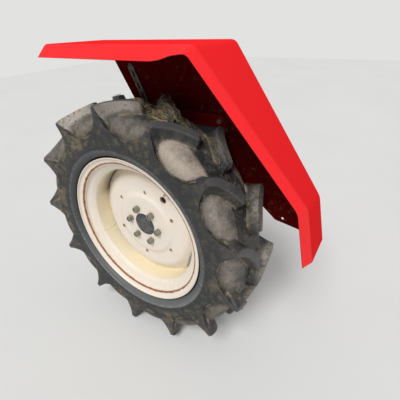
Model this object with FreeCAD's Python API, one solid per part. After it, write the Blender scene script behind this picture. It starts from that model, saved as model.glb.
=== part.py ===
"""Rear wheel of a small farm tractor on its axle end, with the mudguard over it.

Frame, in millimetres: origin at the centre of the axle housing's gearbox
flange, +X to the tractor's front, +Y inboard along the axle, +Z up.  The
wheel stands on the outboard side, at negative Y.  Depths are given from the
rim's outer plane, growing inboard, and depth() turns them into Y.
"""
import FreeCAD, Part
import math
import os

V = FreeCAD.Vector
AXIS = V(0, 1, 0)
ORIGIN = V(0, 0, 0)

# Round surfaces that nothing turns on are made of this many flat ones
wheel_sides = 39             # rim, disc and tyre, three for each lug
housing_sides = 32
shaft_sides = 24
bolt_sides = 12

# Wheel: rim of 24 inch nominal diameter
flange_to_rim = 450.0        # gearbox flange to the rim's outer plane
rim_width = 208.0            # over both flanges
rim_sheet = 5.0
lip_radius = 323.0           # visible side of the flange's edge
flange_depth = 13.5          # edge to the flange's upright wall
flange_bend_depth = 9.5      # where the flange turns outwards
flange_bend_radius = 319.5
seat_radius = 299.5          # visible side of the bead seat
seat_end = 29.0              # depth where the bead seat ends
seat_fall = 1.0              # of the seat, towards the well
well_start = 50.0            # depth where the well begins
well_radius = 262.0          # visible side of the well

# Tyre valve
valve_offset = 16.0          # from the well's outboard corner
valve_bore = 8.0
stem_radius = 4.0
stem_length = 30.0
stem_nut_radius = 10.0
stem_nut_height = 5.0
stem_cap_radius = 5.5
stem_cap_overlap = 9.0

# Wheel disc
disc_sheet = 8.0
hub_zone_depth = 79.0        # outer face round the nuts
hub_zone_radius = 139.0      # middle of the step round that face
face_step = 8.0              # the ring with the small holes lies this much deeper
step_run = 16.0              # radial length of that step
dish_radius = 209.0          # corner between the disc's face and its skirt
dish_bend = 45.0
disc_seat_depth = 126.5      # where the disc meets the well
weld_gap = 0.2
flat_distance = 232.0        # axis to each of the cut flats
flat_angles = (97.0, -23.0, -143.0)
small_hole_radius = 8.0
small_hole_circle = 156.2
small_hole_start = 142.3     # degrees from +X towards +Z
small_hole_count = 6
valve_hole_radius = 15.0
valve_hole_circle = 183.0
valve_angle = 52.3

# Axle end, studs and nuts
hub_radius = 51.0            # pilot that shows in the disc's middle
hub_depth = 77.3             # its end face
hub_edge = 4.0
hub_fit = 0.3                # pilot to the disc's bore
centre_hole_radius = 6.0
centre_hole_depth = 22.0
shaft_flange_radius = 96.0
shaft_flange_thickness = 16.0
stud_count = 6
stud_circle = 76.2           # radius, six studs on six inches
stud_start = 111.6
stud_radius = 8.0
stud_fit = 0.25
nut_turn = 10.0              # degrees that each nut is turned on from the last
stud_end_depth = 62.0
stud_head_radius = 13.0
stud_head_height = 6.0
nut_across_flats = 24.0
nut_height = 20.0
nut_thread_fit = 0.1

# Shaft and its bearings
journal_radius = 35.0        # under the oil seal
boss_radius = 42.0
boss_end = 116.0             # depth
outer_bearing_depth = 138.0
outer_bearing_width = 30.0
outer_bearing_bore = 30.0
outer_bearing_od = 55.0
shaft_radius = 27.0
inner_bearing_inset = 23.0   # behind the gearbox face
inner_bearing_width = 22.0
inner_bearing_bore = 25.0
inner_bearing_od = 45.0
running_fit = 0.05
seat_fit = 0.02
spline_radius = 24.0
spline_root = 21.0
spline_teeth = 12
spline_out = 48.0            # beyond the gearbox flange
spline_relief = 7.0

# Axle housing
housing_end_depth = 134.0
housing_end_radius = 78.0
housing_end_length = 18.0
housing_neck_radius = 60.0
housing_root_radius = 70.0
housing_neck_depth = 235.0
flange_radius = 118.0
flange_thickness = 16.0
flange_bolt_count = 8
flange_bolt_circle = 100.0   # radius
flange_bolt_hole = 6.75
neck_run = 16.0              # length of the slope behind the end's collar
neck_step = 4.0
root_run = 20.0
root_step = 14.0
housing_bore = 42.0
housing_wall = 16.0
bearing_lead = 4.0           # wider entry for the inner bearing
rib_count = 8
rib_thickness = 9.0
rib_length = 90.0
pad_depth = 266.0            # start of the pad under the mudguard bracket
pad_length = 92.0
pad_width = 118.0
pad_height = 74.0            # above the axle's axis
pad_bolt_spread = 39.0
pad_bolt_margin = 20.0
pad_hole_depth = 20.0
retainer_thickness = 9.0
retainer_lip = 47.0
retainer_step = 2.0          # smaller than the housing's end
seal_width = 8.0

# Tyre
tyre_gap = 0.3               # rubber to rim
lug_count = 13               # on each side
lug_tip_start = 123.9        # degrees
crown_radius = 525.0
shoulder_tip_radius = 512.0
tip_depth = -25.0            # outboard ends of the lugs
tip_round = 6.0
carcass_radius = 478.0       # between the lugs
crown_edge = 40.0            # depth where the crown's flat middle begins
shoulder_radius = 464.0
shoulder_depth = 6.0
sidewall_radius = 392.0      # middle of the sidewall's flat part
sidewall_depth = -15.0
sidewall_reach = 34.0        # half that part's radial length
rim_edge_gap = 2.5           # rubber over the rim's edge
lug_plane = 548.0            # plane in which a lug's top outline is drawn
lug_root_plane = 392.0
wall_thickness = 11.0

# Mudguard
guard_sheet = 2.0
lip_depth = -30.0
crease_depth = 10.0
guard_inner_depth = 262.0
rail_thickness = 6.0
rail_top = 452.0
rail_height = 45.0
rail_rear = -145.0
rail_front = 292.0
rail_taper = 14.0            # cut off the rail's front upper corner
wall_rear_top = -260.0       # x where the wall ends at the top
rib_width = 16.0
rib_rise = 4.0
stay_width = 28.0
stay_gap = 0.2               # stay to rail
stay_slots = (18.0, 65.0, 108.0)   # from the stay's top
slot_length = 18.0
slot_width = 9.0
bracket_plate = 8.0
gusset_top = 330.0
gusset_toe = 24.0
bolt_radius = 5.0
bolt_fit = 0.25
bolt_head_flats = 17.0
bolt_head_height = 7.0
bolt_nut_height = 9.0
bolt_tail = 5.0

os.makedirs("parts", exist_ok=True)
mid_depth = rim_width / 2


def depth(d):
    """Y of a depth that is measured from the rim's outer plane."""
    return d - flange_to_rim


def unit(dx, dy):
    length = math.hypot(dx, dy)
    return dx / length, dy / length


def bend_points(before, here, after):
    """First, middle and last point of the arc that rounds a vertex (a, b, radius)."""
    ua = unit(here[0] - before[0], here[1] - before[1])
    ub = unit(after[0] - here[0], after[1] - here[1])
    turn = math.acos(max(-1.0, min(1.0, ua[0] * ub[0] + ua[1] * ub[1])))
    if here[2] <= 0 or turn < 1e-4:
        return None
    reach = here[2] * math.tan(turn / 2)
    bis = unit(ub[0] - ua[0], ub[1] - ua[1])
    lift = here[2] / math.cos(turn / 2) - here[2]
    return ((here[0] - ua[0] * reach, here[1] - ua[1] * reach),
            (here[0] + bis[0] * lift, here[1] + bis[1] * lift),
            (here[0] + ub[0] * reach, here[1] + ub[1] * reach))


def path_edges(vertices, place):
    """Lines through (a, b, radius) vertices, with an arc at each rounded one."""
    edges = []
    start = vertices[0][:2]
    for before, here, after in zip(vertices, vertices[1:], vertices[2:]):
        arc = bend_points(before, here, after)
        end = arc[0] if arc else here[:2]
        edges.append(Part.LineSegment(place(*start), place(*end)).toShape())
        if arc:
            edges.append(Part.Arc(*[place(*point) for point in arc]).toShape())
        start = arc[2] if arc else end
    edges.append(Part.LineSegment(place(*start), place(*vertices[-1][:2])).toShape())
    return edges


def chorded(vertices):
    """Points of the same path with each bend cut to its chord."""
    points = [vertices[0][:2]]
    for before, here, after in zip(vertices, vertices[1:], vertices[2:]):
        arc = bend_points(before, here, after)
        points += [arc[0], arc[2]] if arc else [here[:2]]
    return points + [vertices[-1][:2]]


def offset_path(vertices, shift):
    """The same path moved to its left by shift, with its bends kept concentric."""
    moved = []
    count = len(vertices)
    for i, (a, b, radius) in enumerate(vertices):
        normals = []
        for j in (i - 1, i):
            if 0 <= j < count - 1:
                u = unit(vertices[j + 1][0] - vertices[j][0], vertices[j + 1][1] - vertices[j][1])
                normals.append((-u[1], u[0]))
        if len(normals) == 1:
            moved.append((a + normals[0][0] * shift, b + normals[0][1] * shift, 0))
            continue
        (ax, ay), (bx, by) = normals
        scale = shift / (1 + ax * bx + ay * by)
        left_turn = ax * by - ay * bx > 0
        bend = radius - shift if left_turn else radius + shift
        bend = max(bend, 0.2) if radius > 0 else 0
        moved.append((a + (ax + bx) * scale, b + (ay + by) * scale, bend))
    return moved


def sheet_wire(vertices, thickness, place):
    """Closed outline of a bent sheet: the path, its offset and the two ends."""
    other = offset_path(vertices, thickness)
    edges = path_edges(vertices, place)
    edges.append(Part.LineSegment(place(*vertices[-1][:2]), place(*other[-1][:2])).toShape())
    edges += path_edges(other[::-1], place)
    edges.append(Part.LineSegment(place(*other[0][:2]), place(*vertices[0][:2])).toShape())
    return Part.Wire(edges)


def faced(corners):
    return Part.Face(Part.makePolygon(list(corners) + [corners[0]]))


def turned(section, sides):
    """Solid about the axle, of flat facets, from the closed list of its section's (depth, radius)."""
    faces = []
    step = 2 * math.pi / sides
    for i in range(sides):
        for (d0, r0), (d1, r1) in zip(section, section[1:] + section[:1]):
            corners = []
            for d, r, k in ((d0, r0, i), (d1, r1, i), (d1, r1, i + 1), (d0, r0, i + 1)):
                corner = V(r * math.cos(k * step), depth(d), r * math.sin(k * step))
                if all(corner.distanceToPoint(other) > 1e-6 for other in corners):
                    corners.append(corner)
            if len(corners) > 2:
                faces.append(faced(corners))
    return Part.Solid(Part.Shell(faces))


def bore(radius, sides):
    """Corner radius of a bore of flat facets that is clear of a shaft of that radius."""
    return radius / math.cos(math.pi / sides)


def turned_sheet(vertices, thickness, sides):
    """Turned solid of a bent sheet, whose other side is the path moved left by its thickness."""
    return turned(chorded(vertices) + chorded(offset_path(vertices, thickness))[::-1], sides)


def rod(radius, start, end, x=0.0, z=0.0):
    """Cylinder along the axle's direction between two depths."""
    return Part.makeCylinder(radius, end - start, V(x, depth(start), z), AXIS)


def polygon_rod(across, sides, start, end, x=0.0, z=0.0, turn=0.0):
    """Prism along the axle's direction; across is its corners' distance from its own axis."""
    corners = [around(across, turn + i * 360.0 / sides) for i in range(sides)]
    face = faced([V(x + u, depth(start), z + w) for u, w in corners])
    return face.extrude(V(0, end - start, 0))


def around(radius, angle):
    a = math.radians(angle)
    return radius * math.cos(a), radius * math.sin(a)


def ring_places(count, start, radius):
    return [around(radius, start - i * 360.0 / count) for i in range(count)]


def hexagon(flats, start, end, x, z, turn=0.0):
    """Hexagonal prism along the axle's direction between two depths."""
    return polygon_rod(flats / math.sqrt(3), 6, start, end, x, z, turn)


def save(shape, name):
    shape.exportStep("parts/%s.step" % name)


# Rim: one rolled sheet, edge to edge
rim_half = [
    (0.0, lip_radius, 0),
    (flange_bend_depth, flange_bend_radius, 0),
    (flange_depth, seat_radius, 0),
    (seat_end, seat_radius - seat_fall, 0),
    (well_start, well_radius, 0),
]
rim_path = rim_half + [(rim_width - d, r, bend) for d, r, bend in rim_half[::-1]]
rim = turned_sheet(rim_path, rim_sheet, wheel_sides)
valve_bore_depth = well_start + valve_offset
well_flat = well_radius * math.cos(math.pi / wheel_sides)    # middle of a facet


def radial_rod(radius, start, end):
    """Bar on the valve's line between two distances from the axle's axis."""
    bar_shape = polygon_rod(radius, bolt_sides, 0, end - start)
    bar_shape.translate(V(0, start - depth(0), 0))
    bar_shape.rotate(ORIGIN, V(0, 0, 1), -90)
    bar_shape.rotate(ORIGIN, AXIS, -valve_angle)
    bar_shape.translate(V(0, depth(valve_bore_depth), 0))
    return bar_shape


rim = rim.cut(radial_rod(valve_bore, well_radius - rim_sheet, well_radius + 2 * rim_sheet))
save(rim, "rim")

# Disc: a pressed dish with a raised hub zone and three flats cut off its edge
ring_depth = hub_zone_depth + face_step
disc_path = [
    (hub_zone_depth, hub_radius + hub_fit, 0),
    (hub_zone_depth, hub_zone_radius - step_run / 2, 0),
    (ring_depth, hub_zone_radius + step_run / 2, 0),
    (ring_depth, dish_radius, dish_bend),
    (disc_seat_depth, well_radius - weld_gap, 0),
]
disc = turned_sheet(disc_path, -disc_sheet, wheel_sides)
for angle in flat_angles:
    block = Part.makeBox(well_radius, rim_width, 2 * well_radius,
                         V(flat_distance, depth(0), -well_radius))
    block.rotate(ORIGIN, AXIS, -angle)
    disc = disc.cut(block)
stud_places = ring_places(stud_count, stud_start, stud_circle)
for x, z in stud_places:
    disc = disc.cut(polygon_rod(stud_radius + stud_fit, bolt_sides, 0, rim_width, x, z))
for x, z in ring_places(small_hole_count, small_hole_start, small_hole_circle):
    disc = disc.cut(rod(small_hole_radius, 0, rim_width, x, z))
disc = disc.cut(rod(valve_hole_radius, 0, rim_width, *around(valve_hole_circle, valve_angle)))
save(disc, "wheel_disc")

# Axle shaft: pilot, flange, seal journal, two bearing seats and the splined end
disc_back = hub_zone_depth + disc_sheet
flange_back = disc_back + shaft_flange_thickness
outer_bearing_end = outer_bearing_depth + outer_bearing_width
inner_bearing_end = flange_to_rim - inner_bearing_inset
inner_bearing_depth = inner_bearing_end - inner_bearing_width
spline_start = inner_bearing_end + spline_relief
spline_end = flange_to_rim + spline_out
shaft = turned([
    (hub_depth + centre_hole_depth, 0),
    (hub_depth, centre_hole_radius),
    (hub_depth, hub_radius - hub_edge),
    (hub_depth + hub_edge, hub_radius),
    (disc_back, hub_radius),
    (disc_back, shaft_flange_radius),
    (flange_back, shaft_flange_radius),
    (flange_back, boss_radius),
    (boss_end, boss_radius),
    (boss_end, journal_radius),
    (outer_bearing_depth, journal_radius),
    (outer_bearing_depth, shaft_radius),
    (inner_bearing_depth, shaft_radius),
    (inner_bearing_depth, spline_radius),
    (spline_end, spline_radius),
    (spline_end, 0),
], shaft_sides)
shaft = shaft.fuse(rod(outer_bearing_bore - running_fit, outer_bearing_depth, outer_bearing_end))
shaft = shaft.fuse(rod(inner_bearing_bore - running_fit, inner_bearing_depth, spline_start))
groove_width = math.pi * spline_radius / spline_teeth
for i in range(spline_teeth):
    groove = Part.makeBox(spline_radius, spline_end - spline_start, groove_width,
                          V(spline_root, depth(spline_start + spline_relief), -groove_width / 2))
    groove.rotate(ORIGIN, AXIS, i * 360.0 / spline_teeth)
    shaft = shaft.cut(groove)
for x, z in stud_places:
    shaft = shaft.cut(polygon_rod(stud_radius, bolt_sides, disc_back, flange_back, x, z))
save(shaft, "axle_shaft")

# Studs pressed into the shaft's flange, and their nuts
nut_start = hub_zone_depth - nut_height
for i, (x, z) in enumerate(stud_places, 1):
    stud = polygon_rod(stud_radius, bolt_sides, stud_end_depth, flange_back, x, z)
    stud = stud.fuse(polygon_rod(stud_head_radius, bolt_sides, flange_back,
                                 flange_back + stud_head_height, x, z))
    save(stud.removeSplitter(), "stud_%d" % i)
    nut = hexagon(nut_across_flats, nut_start, hub_zone_depth, x, z, stud_start + nut_turn * i)
    nut = nut.cut(polygon_rod(stud_radius + nut_thread_fit, bolt_sides, nut_start,
                              hub_zone_depth, x, z))
    save(nut, "nut_%d" % i)

# Valve: stem through the well, its nut and its cap
nut_seat = well_flat - weld_gap
stem_end = nut_seat - stem_length
stem = radial_rod(stem_radius, stem_end, well_flat + rim_sheet)
stem = stem.fuse(radial_rod(valve_bore - weld_gap, nut_seat, well_flat + rim_sheet))
stem = stem.fuse(radial_rod(stem_nut_radius, nut_seat - stem_nut_height, nut_seat))
save(stem.removeSplitter(), "valve_stem")
cap = radial_rod(stem_cap_radius, stem_end - rim_sheet, stem_end + stem_cap_overlap)
cap = cap.cut(radial_rod(stem_radius + nut_thread_fit, stem_end, stem_end + stem_cap_overlap))
save(cap, "valve_cap")

# Tyre: hollow carcass with curved lugs that run out over the shoulders
bead_depth = flange_depth + rim_sheet + tyre_gap
bead_radius = seat_radius + rim_sheet + tyre_gap
rim_edge_radius = lip_radius + rim_sheet + rim_edge_gap


def mirrored(half):
    """Turned solid of a section given by its outboard half."""
    return turned(half + [(rim_width - d, r) for d, r in half[::-1]], wheel_sides)


def inside(shift):
    """The tyre's inner space, its wall that much in from the outer surface."""
    return mirrored([
        (bead_depth + shift, bead_radius - shift),
        (bead_depth + shift, rim_edge_radius),
        (sidewall_depth + shift, sidewall_radius),
        (crown_edge, carcass_radius - shift),
    ])


carcass = mirrored([
    (bead_depth, bead_radius),
    (bead_depth, rim_edge_radius),
    (sidewall_depth, sidewall_radius - sidewall_reach),
    (sidewall_depth, sidewall_radius + sidewall_reach),
    (shoulder_depth, shoulder_radius),
    (crown_edge, carcass_radius),
]).cut(inside(wall_thickness))
envelope = mirrored([
    (mid_depth - tip_round, lug_root_plane - wall_thickness),
    (sidewall_depth + tip_round, lug_root_plane - wall_thickness),
    (sidewall_depth, sidewall_radius + tip_round),
    (tip_depth, shoulder_tip_radius),
    (tip_depth + tip_round, shoulder_tip_radius + tip_round),
    (crown_edge, crown_radius),
])

# Lug centre line. Columns: degrees behind the tip, depth, width at the top, at the root
lug_stations = [
    (-0.2, -44.0, 28.0, 92.0),
    (1.2, -4.0, 28.0, 66.0),
    (4.0, 33.0, 29.0, 46.0),
    (8.2, 66.0, 30.0, 44.0),
    (13.8, 93.0, 32.0, 46.0),
]


def lug_outline(plane, width_column):
    """Closed outline of a lug, drawn in a plane square to the radius at its middle."""
    middle = (lug_stations[0][0] + lug_stations[-1][0]) / 2
    line = [(plane * math.tan(math.radians(s[0] - middle)), s[1]) for s in lug_stations]
    near, far = [], []
    for i, (u, d) in enumerate(line):
        before = line[max(i - 1, 0)]
        after = line[min(i + 1, len(line) - 1)]
        du, dd = unit(after[0] - before[0], after[1] - before[1])
        half = lug_stations[i][width_column] / 2
        near.append((u + dd * half, d - du * half))
        far.append((u - dd * half, d + du * half))
    return [V(plane, depth(d), -u) for u, d in near + far[::-1] + near[:1]], middle


def faceted(top, root):
    """Solid between two flat outlines of as many points, with flat facets."""
    faces = [Part.Face(Part.makePolygon(top)), Part.Face(Part.makePolygon(root))]
    for a, b, c, d in zip(top, top[1:], root, root[1:]):
        faces += [faced([a, b, d]), faced([a, d, c])]
    return Part.Solid(Part.Shell(faces))


top_outline, lug_middle = lug_outline(lug_plane, 2)
root_outline, lug_middle = lug_outline(lug_root_plane, 3)
lug = faceted(top_outline, root_outline).common(envelope).cut(inside(wall_thickness / 2))
inboard_lug = lug.mirror(V(0, depth(mid_depth), 0), AXIS)
pitch = 360.0 / lug_count
lugs = []
for i in range(lug_count):
    for shape, start in ((lug, lug_tip_start), (inboard_lug, lug_tip_start + pitch / 2)):
        copy = shape.copy()
        copy.rotate(ORIGIN, AXIS, -(start - lug_middle - i * pitch))
        lugs.append(copy)
tyre = carcass.multiFuse(lugs)
save(tyre, "tyre")

# Axle housing: cast trumpet from the gearbox flange to the bearing end
flange_start = flange_to_rim - flange_thickness
seat_bore = bore(outer_bearing_od + seat_fit, housing_sides)
inner_seat_bore = bore(inner_bearing_od + seat_fit, housing_sides)
neck_start = housing_end_depth + housing_end_length
housing = turned([
    (housing_end_depth, seat_bore),
    (housing_end_depth, housing_end_radius),
    (neck_start, housing_end_radius),
    (neck_start + neck_run, housing_neck_radius + neck_step),
    (housing_neck_depth, housing_neck_radius),
    (flange_start - root_run, housing_root_radius),
    (flange_start, housing_root_radius + root_step),
    (flange_start, flange_radius),
    (flange_to_rim, flange_radius),
    (flange_to_rim, inner_seat_bore + bearing_lead),
    (inner_bearing_end, inner_seat_bore + bearing_lead),
    (inner_bearing_end, inner_seat_bore),
    (inner_bearing_depth, inner_seat_bore),
    (inner_bearing_depth, housing_bore),
    (outer_bearing_end, housing_bore),
    (outer_bearing_end, seat_bore),
], housing_sides)
rib_inside = housing_bore + housing_wall / 2
for i in range(rib_count):
    rib = faced([V(radius, depth(d), -rib_thickness / 2) for radius, d in (
        (rib_inside, flange_start - rib_length), (housing_neck_radius, flange_start - rib_length),
        (flange_radius - rib_thickness, flange_start), (rib_inside, flange_start))])
    rib = rib.extrude(V(0, 0, rib_thickness))
    rib.rotate(ORIGIN, AXIS, (i + 0.5) * 360.0 / rib_count)
    housing = housing.fuse(rib)
pad = Part.makeBox(pad_width, pad_length, pad_height - rib_inside,
                   V(-pad_width / 2, depth(pad_depth), rib_inside))
housing = housing.fuse(pad)
for x, z in ring_places(flange_bolt_count, 0.0, flange_bolt_circle):
    housing = housing.cut(rod(flange_bolt_hole, flange_start, flange_to_rim, x, z))


def upright_rod(radius, x, d, bottom, height, sides=bolt_sides):
    """Upright prism over a point of the pad."""
    bar_shape = polygon_rod(radius, sides, 0, height)
    bar_shape.translate(V(0, -depth(0), 0))
    bar_shape.rotate(ORIGIN, V(1, 0, 0), 90)
    bar_shape.translate(V(x, depth(d), bottom))
    return bar_shape


pad_bolt_places = [(x, d) for x in (-pad_bolt_spread, pad_bolt_spread)
                   for d in (pad_depth + pad_bolt_margin, pad_depth + pad_length - pad_bolt_margin)]
for x, d in pad_bolt_places:
    housing = housing.cut(upright_rod(bolt_radius, x, d, pad_height - pad_hole_depth, pad_hole_depth))
save(housing.removeSplitter(), "axle_housing")

# Bearings, oil seal and its retainer
retainer_front = housing_end_depth - retainer_thickness
# Columns: name, start, end, bore of what turns in it, outer radius
rings = [
    ("outer_bearing", outer_bearing_depth, outer_bearing_end, outer_bearing_bore,
     bore(outer_bearing_od, housing_sides)),
    ("inner_bearing", inner_bearing_depth, inner_bearing_end, inner_bearing_bore,
     bore(inner_bearing_od, housing_sides)),
    ("seal_retainer", retainer_front, housing_end_depth, retainer_lip,
     housing_end_radius - retainer_step),
    ("oil_seal", retainer_front, retainer_front + seal_width, journal_radius + running_fit,
     bore(retainer_lip - seat_fit, housing_sides)),
]
for name, start, end, inside_radius, outside_radius in rings:
    hole = bore(inside_radius, housing_sides)
    save(turned([(start, hole), (start, outside_radius), (end, outside_radius), (end, hole)],
                housing_sides), name)

# Mudguard band: a bent sheet with a raised crease and a turned-down outer lip
# Columns: x, z at the lip; x, z at the crease; x, z at the inner edge; bend
band_rows = [
    (-274.0, 663.0, -274.0, 700.0, -274.0, 692.0, 0.0),
    (232.0, 663.0, 232.0, 700.0, 216.0, 692.0, 0.0),
    (268.0, 668.0, 268.0, 700.0, 253.0, 692.0, 0.0),
    (300.0, 678.0, 300.0, 700.0, 286.0, 692.0, 0.0),
    (352.0, 684.0, 349.0, 700.0, 331.0, 692.0, 36.0),
    (668.0, 320.0, 681.0, 314.0, 650.0, 222.0, 56.0),
    (697.0, 156.0, 711.0, 152.0, 681.0, 55.0, 0.0),
]


def band_path(column):
    return [(row[column], row[column + 1], row[6]) for row in band_rows]


def plane_at(d):
    """Function that places the (x, z) points of an outline in the plane at one depth."""
    def place(x, z):
        return V(x, depth(d), z)
    return place


lip_section, crease_section, edge_section = [
    sheet_wire(band_path(column), -guard_sheet, plane_at(d))
    for column, d in ((0, lip_depth), (2, crease_depth), (4, guard_inner_depth))]
band = Part.makeLoft([crease_section, edge_section], True, True)
band = band.fuse(Part.makeLoft([lip_section, crease_section], True, True))
save(band, "mudguard_band")

# Mudguard inner wall: closes the band's inboard side above the tyre's shoulder
# Columns: x, z of the lower edge's corners, from the front foot to the rear
wall_corners = [(503.0, 82.0), (286.0, 403.0), (-101.0, 411.0), (-141.0, 481.0)]
at_wall = plane_at(guard_inner_depth)
edge_path = band_path(4)
wall_line = [(wall_rear_top, edge_path[0][1], 0)] + edge_path[1:]
loop = [wall_line[-1][:2]] + wall_corners + [wall_line[0][:2]]
wall_edges = path_edges(wall_line, at_wall)
wall_edges += [Part.LineSegment(at_wall(*a), at_wall(*b)).toShape() for a, b in zip(loop, loop[1:])]
wall = Part.Face(Part.Wire(wall_edges)).extrude(V(0, guard_sheet, 0))


def bar(x0, z0, x1, z1, width, start, thickness):
    """Flat bar along a line in a plane square to the axle, with rounded ends."""
    heading = math.degrees(math.atan2(z1 - z0, x1 - x0))
    corners = []
    for x, z, turn in ((x0, z0, heading + 90.0), (x1, z1, heading - 90.0)):
        for i in range(bolt_sides // 2 + 1):
            u, w = around(width / 2, turn + i * 360.0 / bolt_sides)
            corners.append(V(x + u, depth(start), z + w))
    return faced(corners).extrude(V(0, thickness, 0))


# Pressed ribs of the wall. Columns: x, z of one end; x, z of the other
rib_lines = [(-24.0, 624.0, 68.0, 514.0), (25.0, 625.0, 107.0, 531.0)]
for line in rib_lines:
    wall = wall.fuse(bar(*line, rib_width, guard_inner_depth - rib_rise, rib_rise))

# Holes for the bolts through rail, wall and bracket, and for those of the platform. Columns: x, z
rail_bolts = [(-114.0, 430.0), (81.0, 430.0), (274.0, 430.0)]
deck_bolt_holes = [(531.0, 96.0), (616.0, 96.0)]
through = bolt_radius + bolt_fit
rail_front_face = guard_inner_depth - rail_thickness
plate_depth = guard_inner_depth + guard_sheet
bracket_back = plate_depth + bracket_plate
for x, z in rail_bolts:
    wall = wall.cut(polygon_rod(through, bolt_sides, guard_inner_depth, plate_depth, x, z))
for x, z in deck_bolt_holes:
    wall = wall.cut(rod(through, guard_inner_depth, plate_depth, x, z))
save(wall, "mudguard_wall")

# Rail along the wall's lower edge, and the slotted stay that stands on it
rail_bottom = rail_top - rail_height
rail = faced([at_wall(x, z) for x, z in (
    (rail_rear, rail_bottom), (rail_front, rail_bottom), (rail_front, rail_top - rail_taper),
    (rail_front - rail_taper, rail_top), (rail_rear, rail_top))]).extrude(V(0, -rail_thickness, 0))
for x, z in rail_bolts:
    rail = rail.cut(polygon_rod(through, bolt_sides, rail_front_face, guard_inner_depth, x, z))
save(rail, "mudguard_rail")

stay_top = (-130.0, 596.0)
stay_foot = (-64.0, rail_top + stay_gap)
stay = bar(*stay_top, *stay_foot, stay_width, rail_front_face, rail_thickness)
stay = stay.cut(Part.makeBox(2 * stay_width, rail_thickness, stay_width,
                             V(stay_foot[0] - stay_width, depth(rail_front_face), rail_top - stay_width)))
run_x, run_z = unit(stay_foot[0] - stay_top[0], stay_foot[1] - stay_top[1])
for reach in stay_slots:
    x = stay_top[0] + run_x * reach
    z = stay_top[1] + run_z * reach
    stay = stay.cut(bar(x, z, x + run_x * slot_length, z + run_z * slot_length, slot_width,
                        rail_front_face, rail_thickness))
save(stay, "mudguard_stay")

# Bracket between the housing's pad and the rail bolts
bracket = faced([V(x, depth(plate_depth), z) for x, z in (
    (-pad_width / 2, pad_height), (pad_width / 2, pad_height), (rail_front, rail_bottom),
    (rail_front, rail_top), (rail_rear, rail_top), (rail_rear, rail_bottom),
    )]).extrude(V(0, bracket_plate, 0))
foot = Part.makeBox(pad_width, pad_length - plate_depth + pad_depth, bracket_plate,
                    V(-pad_width / 2, depth(plate_depth), pad_height))
gusset = faced([V(-bracket_plate / 2, depth(d), z) for d, z in (
    (plate_depth, pad_height), (pad_depth + pad_length, pad_height),
    (pad_depth + pad_length, pad_height + gusset_toe), (bracket_back + bracket_plate, gusset_top),
    (plate_depth, gusset_top))]).extrude(V(bracket_plate, 0, 0))
bracket = bracket.fuse(foot).fuse(gusset)
for x, z in rail_bolts:
    bracket = bracket.cut(polygon_rod(through, bolt_sides, plate_depth, bracket_back, x, z))
for x, d in pad_bolt_places:
    bracket = bracket.cut(upright_rod(through, x, d, pad_height, bracket_plate))
save(bracket.removeSplitter(), "mudguard_bracket")

# Bolts with their nuts, rail to bracket, and bolts into the pad
bolt_end = bracket_back + bolt_nut_height + bolt_tail
for i, (x, z) in enumerate(rail_bolts, 1):
    bolt = hexagon(bolt_head_flats, rail_front_face - bolt_head_height, rail_front_face, x, z)
    bolt = bolt.fuse(polygon_rod(bolt_radius, bolt_sides, rail_front_face, bolt_end, x, z))
    bolt = bolt.fuse(hexagon(bolt_head_flats, bracket_back, bracket_back + bolt_nut_height, x, z))
    save(bolt.removeSplitter(), "rail_bolt_%d" % i)

bolt_seat = pad_height + bracket_plate
bolt_depth = bracket_plate + pad_hole_depth - bolt_tail
for i, (x, d) in enumerate(pad_bolt_places, 1):
    bolt = upright_rod(bolt_radius - seat_fit, x, d, bolt_seat - bolt_depth, bolt_depth)
    head = upright_rod(bolt_head_flats / math.sqrt(3), x, d, bolt_seat, bolt_head_height, 6)
    save(bolt.fuse(head).removeSplitter(), "pad_bolt_%d" % i)
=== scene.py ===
import bmesh
import bpy
import math
import numpy as np
from mathutils import Matrix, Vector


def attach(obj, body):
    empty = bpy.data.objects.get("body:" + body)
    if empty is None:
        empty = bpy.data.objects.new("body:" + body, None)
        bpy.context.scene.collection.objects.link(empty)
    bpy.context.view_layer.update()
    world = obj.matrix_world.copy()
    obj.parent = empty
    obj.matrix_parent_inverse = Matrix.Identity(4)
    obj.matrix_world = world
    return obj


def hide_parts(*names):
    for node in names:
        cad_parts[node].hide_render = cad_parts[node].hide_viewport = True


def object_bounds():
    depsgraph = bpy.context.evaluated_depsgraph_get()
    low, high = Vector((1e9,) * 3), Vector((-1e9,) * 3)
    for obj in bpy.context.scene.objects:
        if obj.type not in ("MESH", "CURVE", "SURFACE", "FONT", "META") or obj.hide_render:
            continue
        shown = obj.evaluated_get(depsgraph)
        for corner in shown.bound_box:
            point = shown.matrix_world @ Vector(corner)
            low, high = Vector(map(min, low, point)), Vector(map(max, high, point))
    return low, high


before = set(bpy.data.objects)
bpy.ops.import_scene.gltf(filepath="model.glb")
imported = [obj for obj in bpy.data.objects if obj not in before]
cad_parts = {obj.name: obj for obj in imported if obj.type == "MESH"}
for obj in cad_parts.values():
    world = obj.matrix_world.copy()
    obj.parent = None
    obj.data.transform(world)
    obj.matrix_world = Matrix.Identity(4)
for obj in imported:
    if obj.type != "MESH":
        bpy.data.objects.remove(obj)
cad_box = [list(corner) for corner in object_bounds()]
scene = bpy.context.scene


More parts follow.
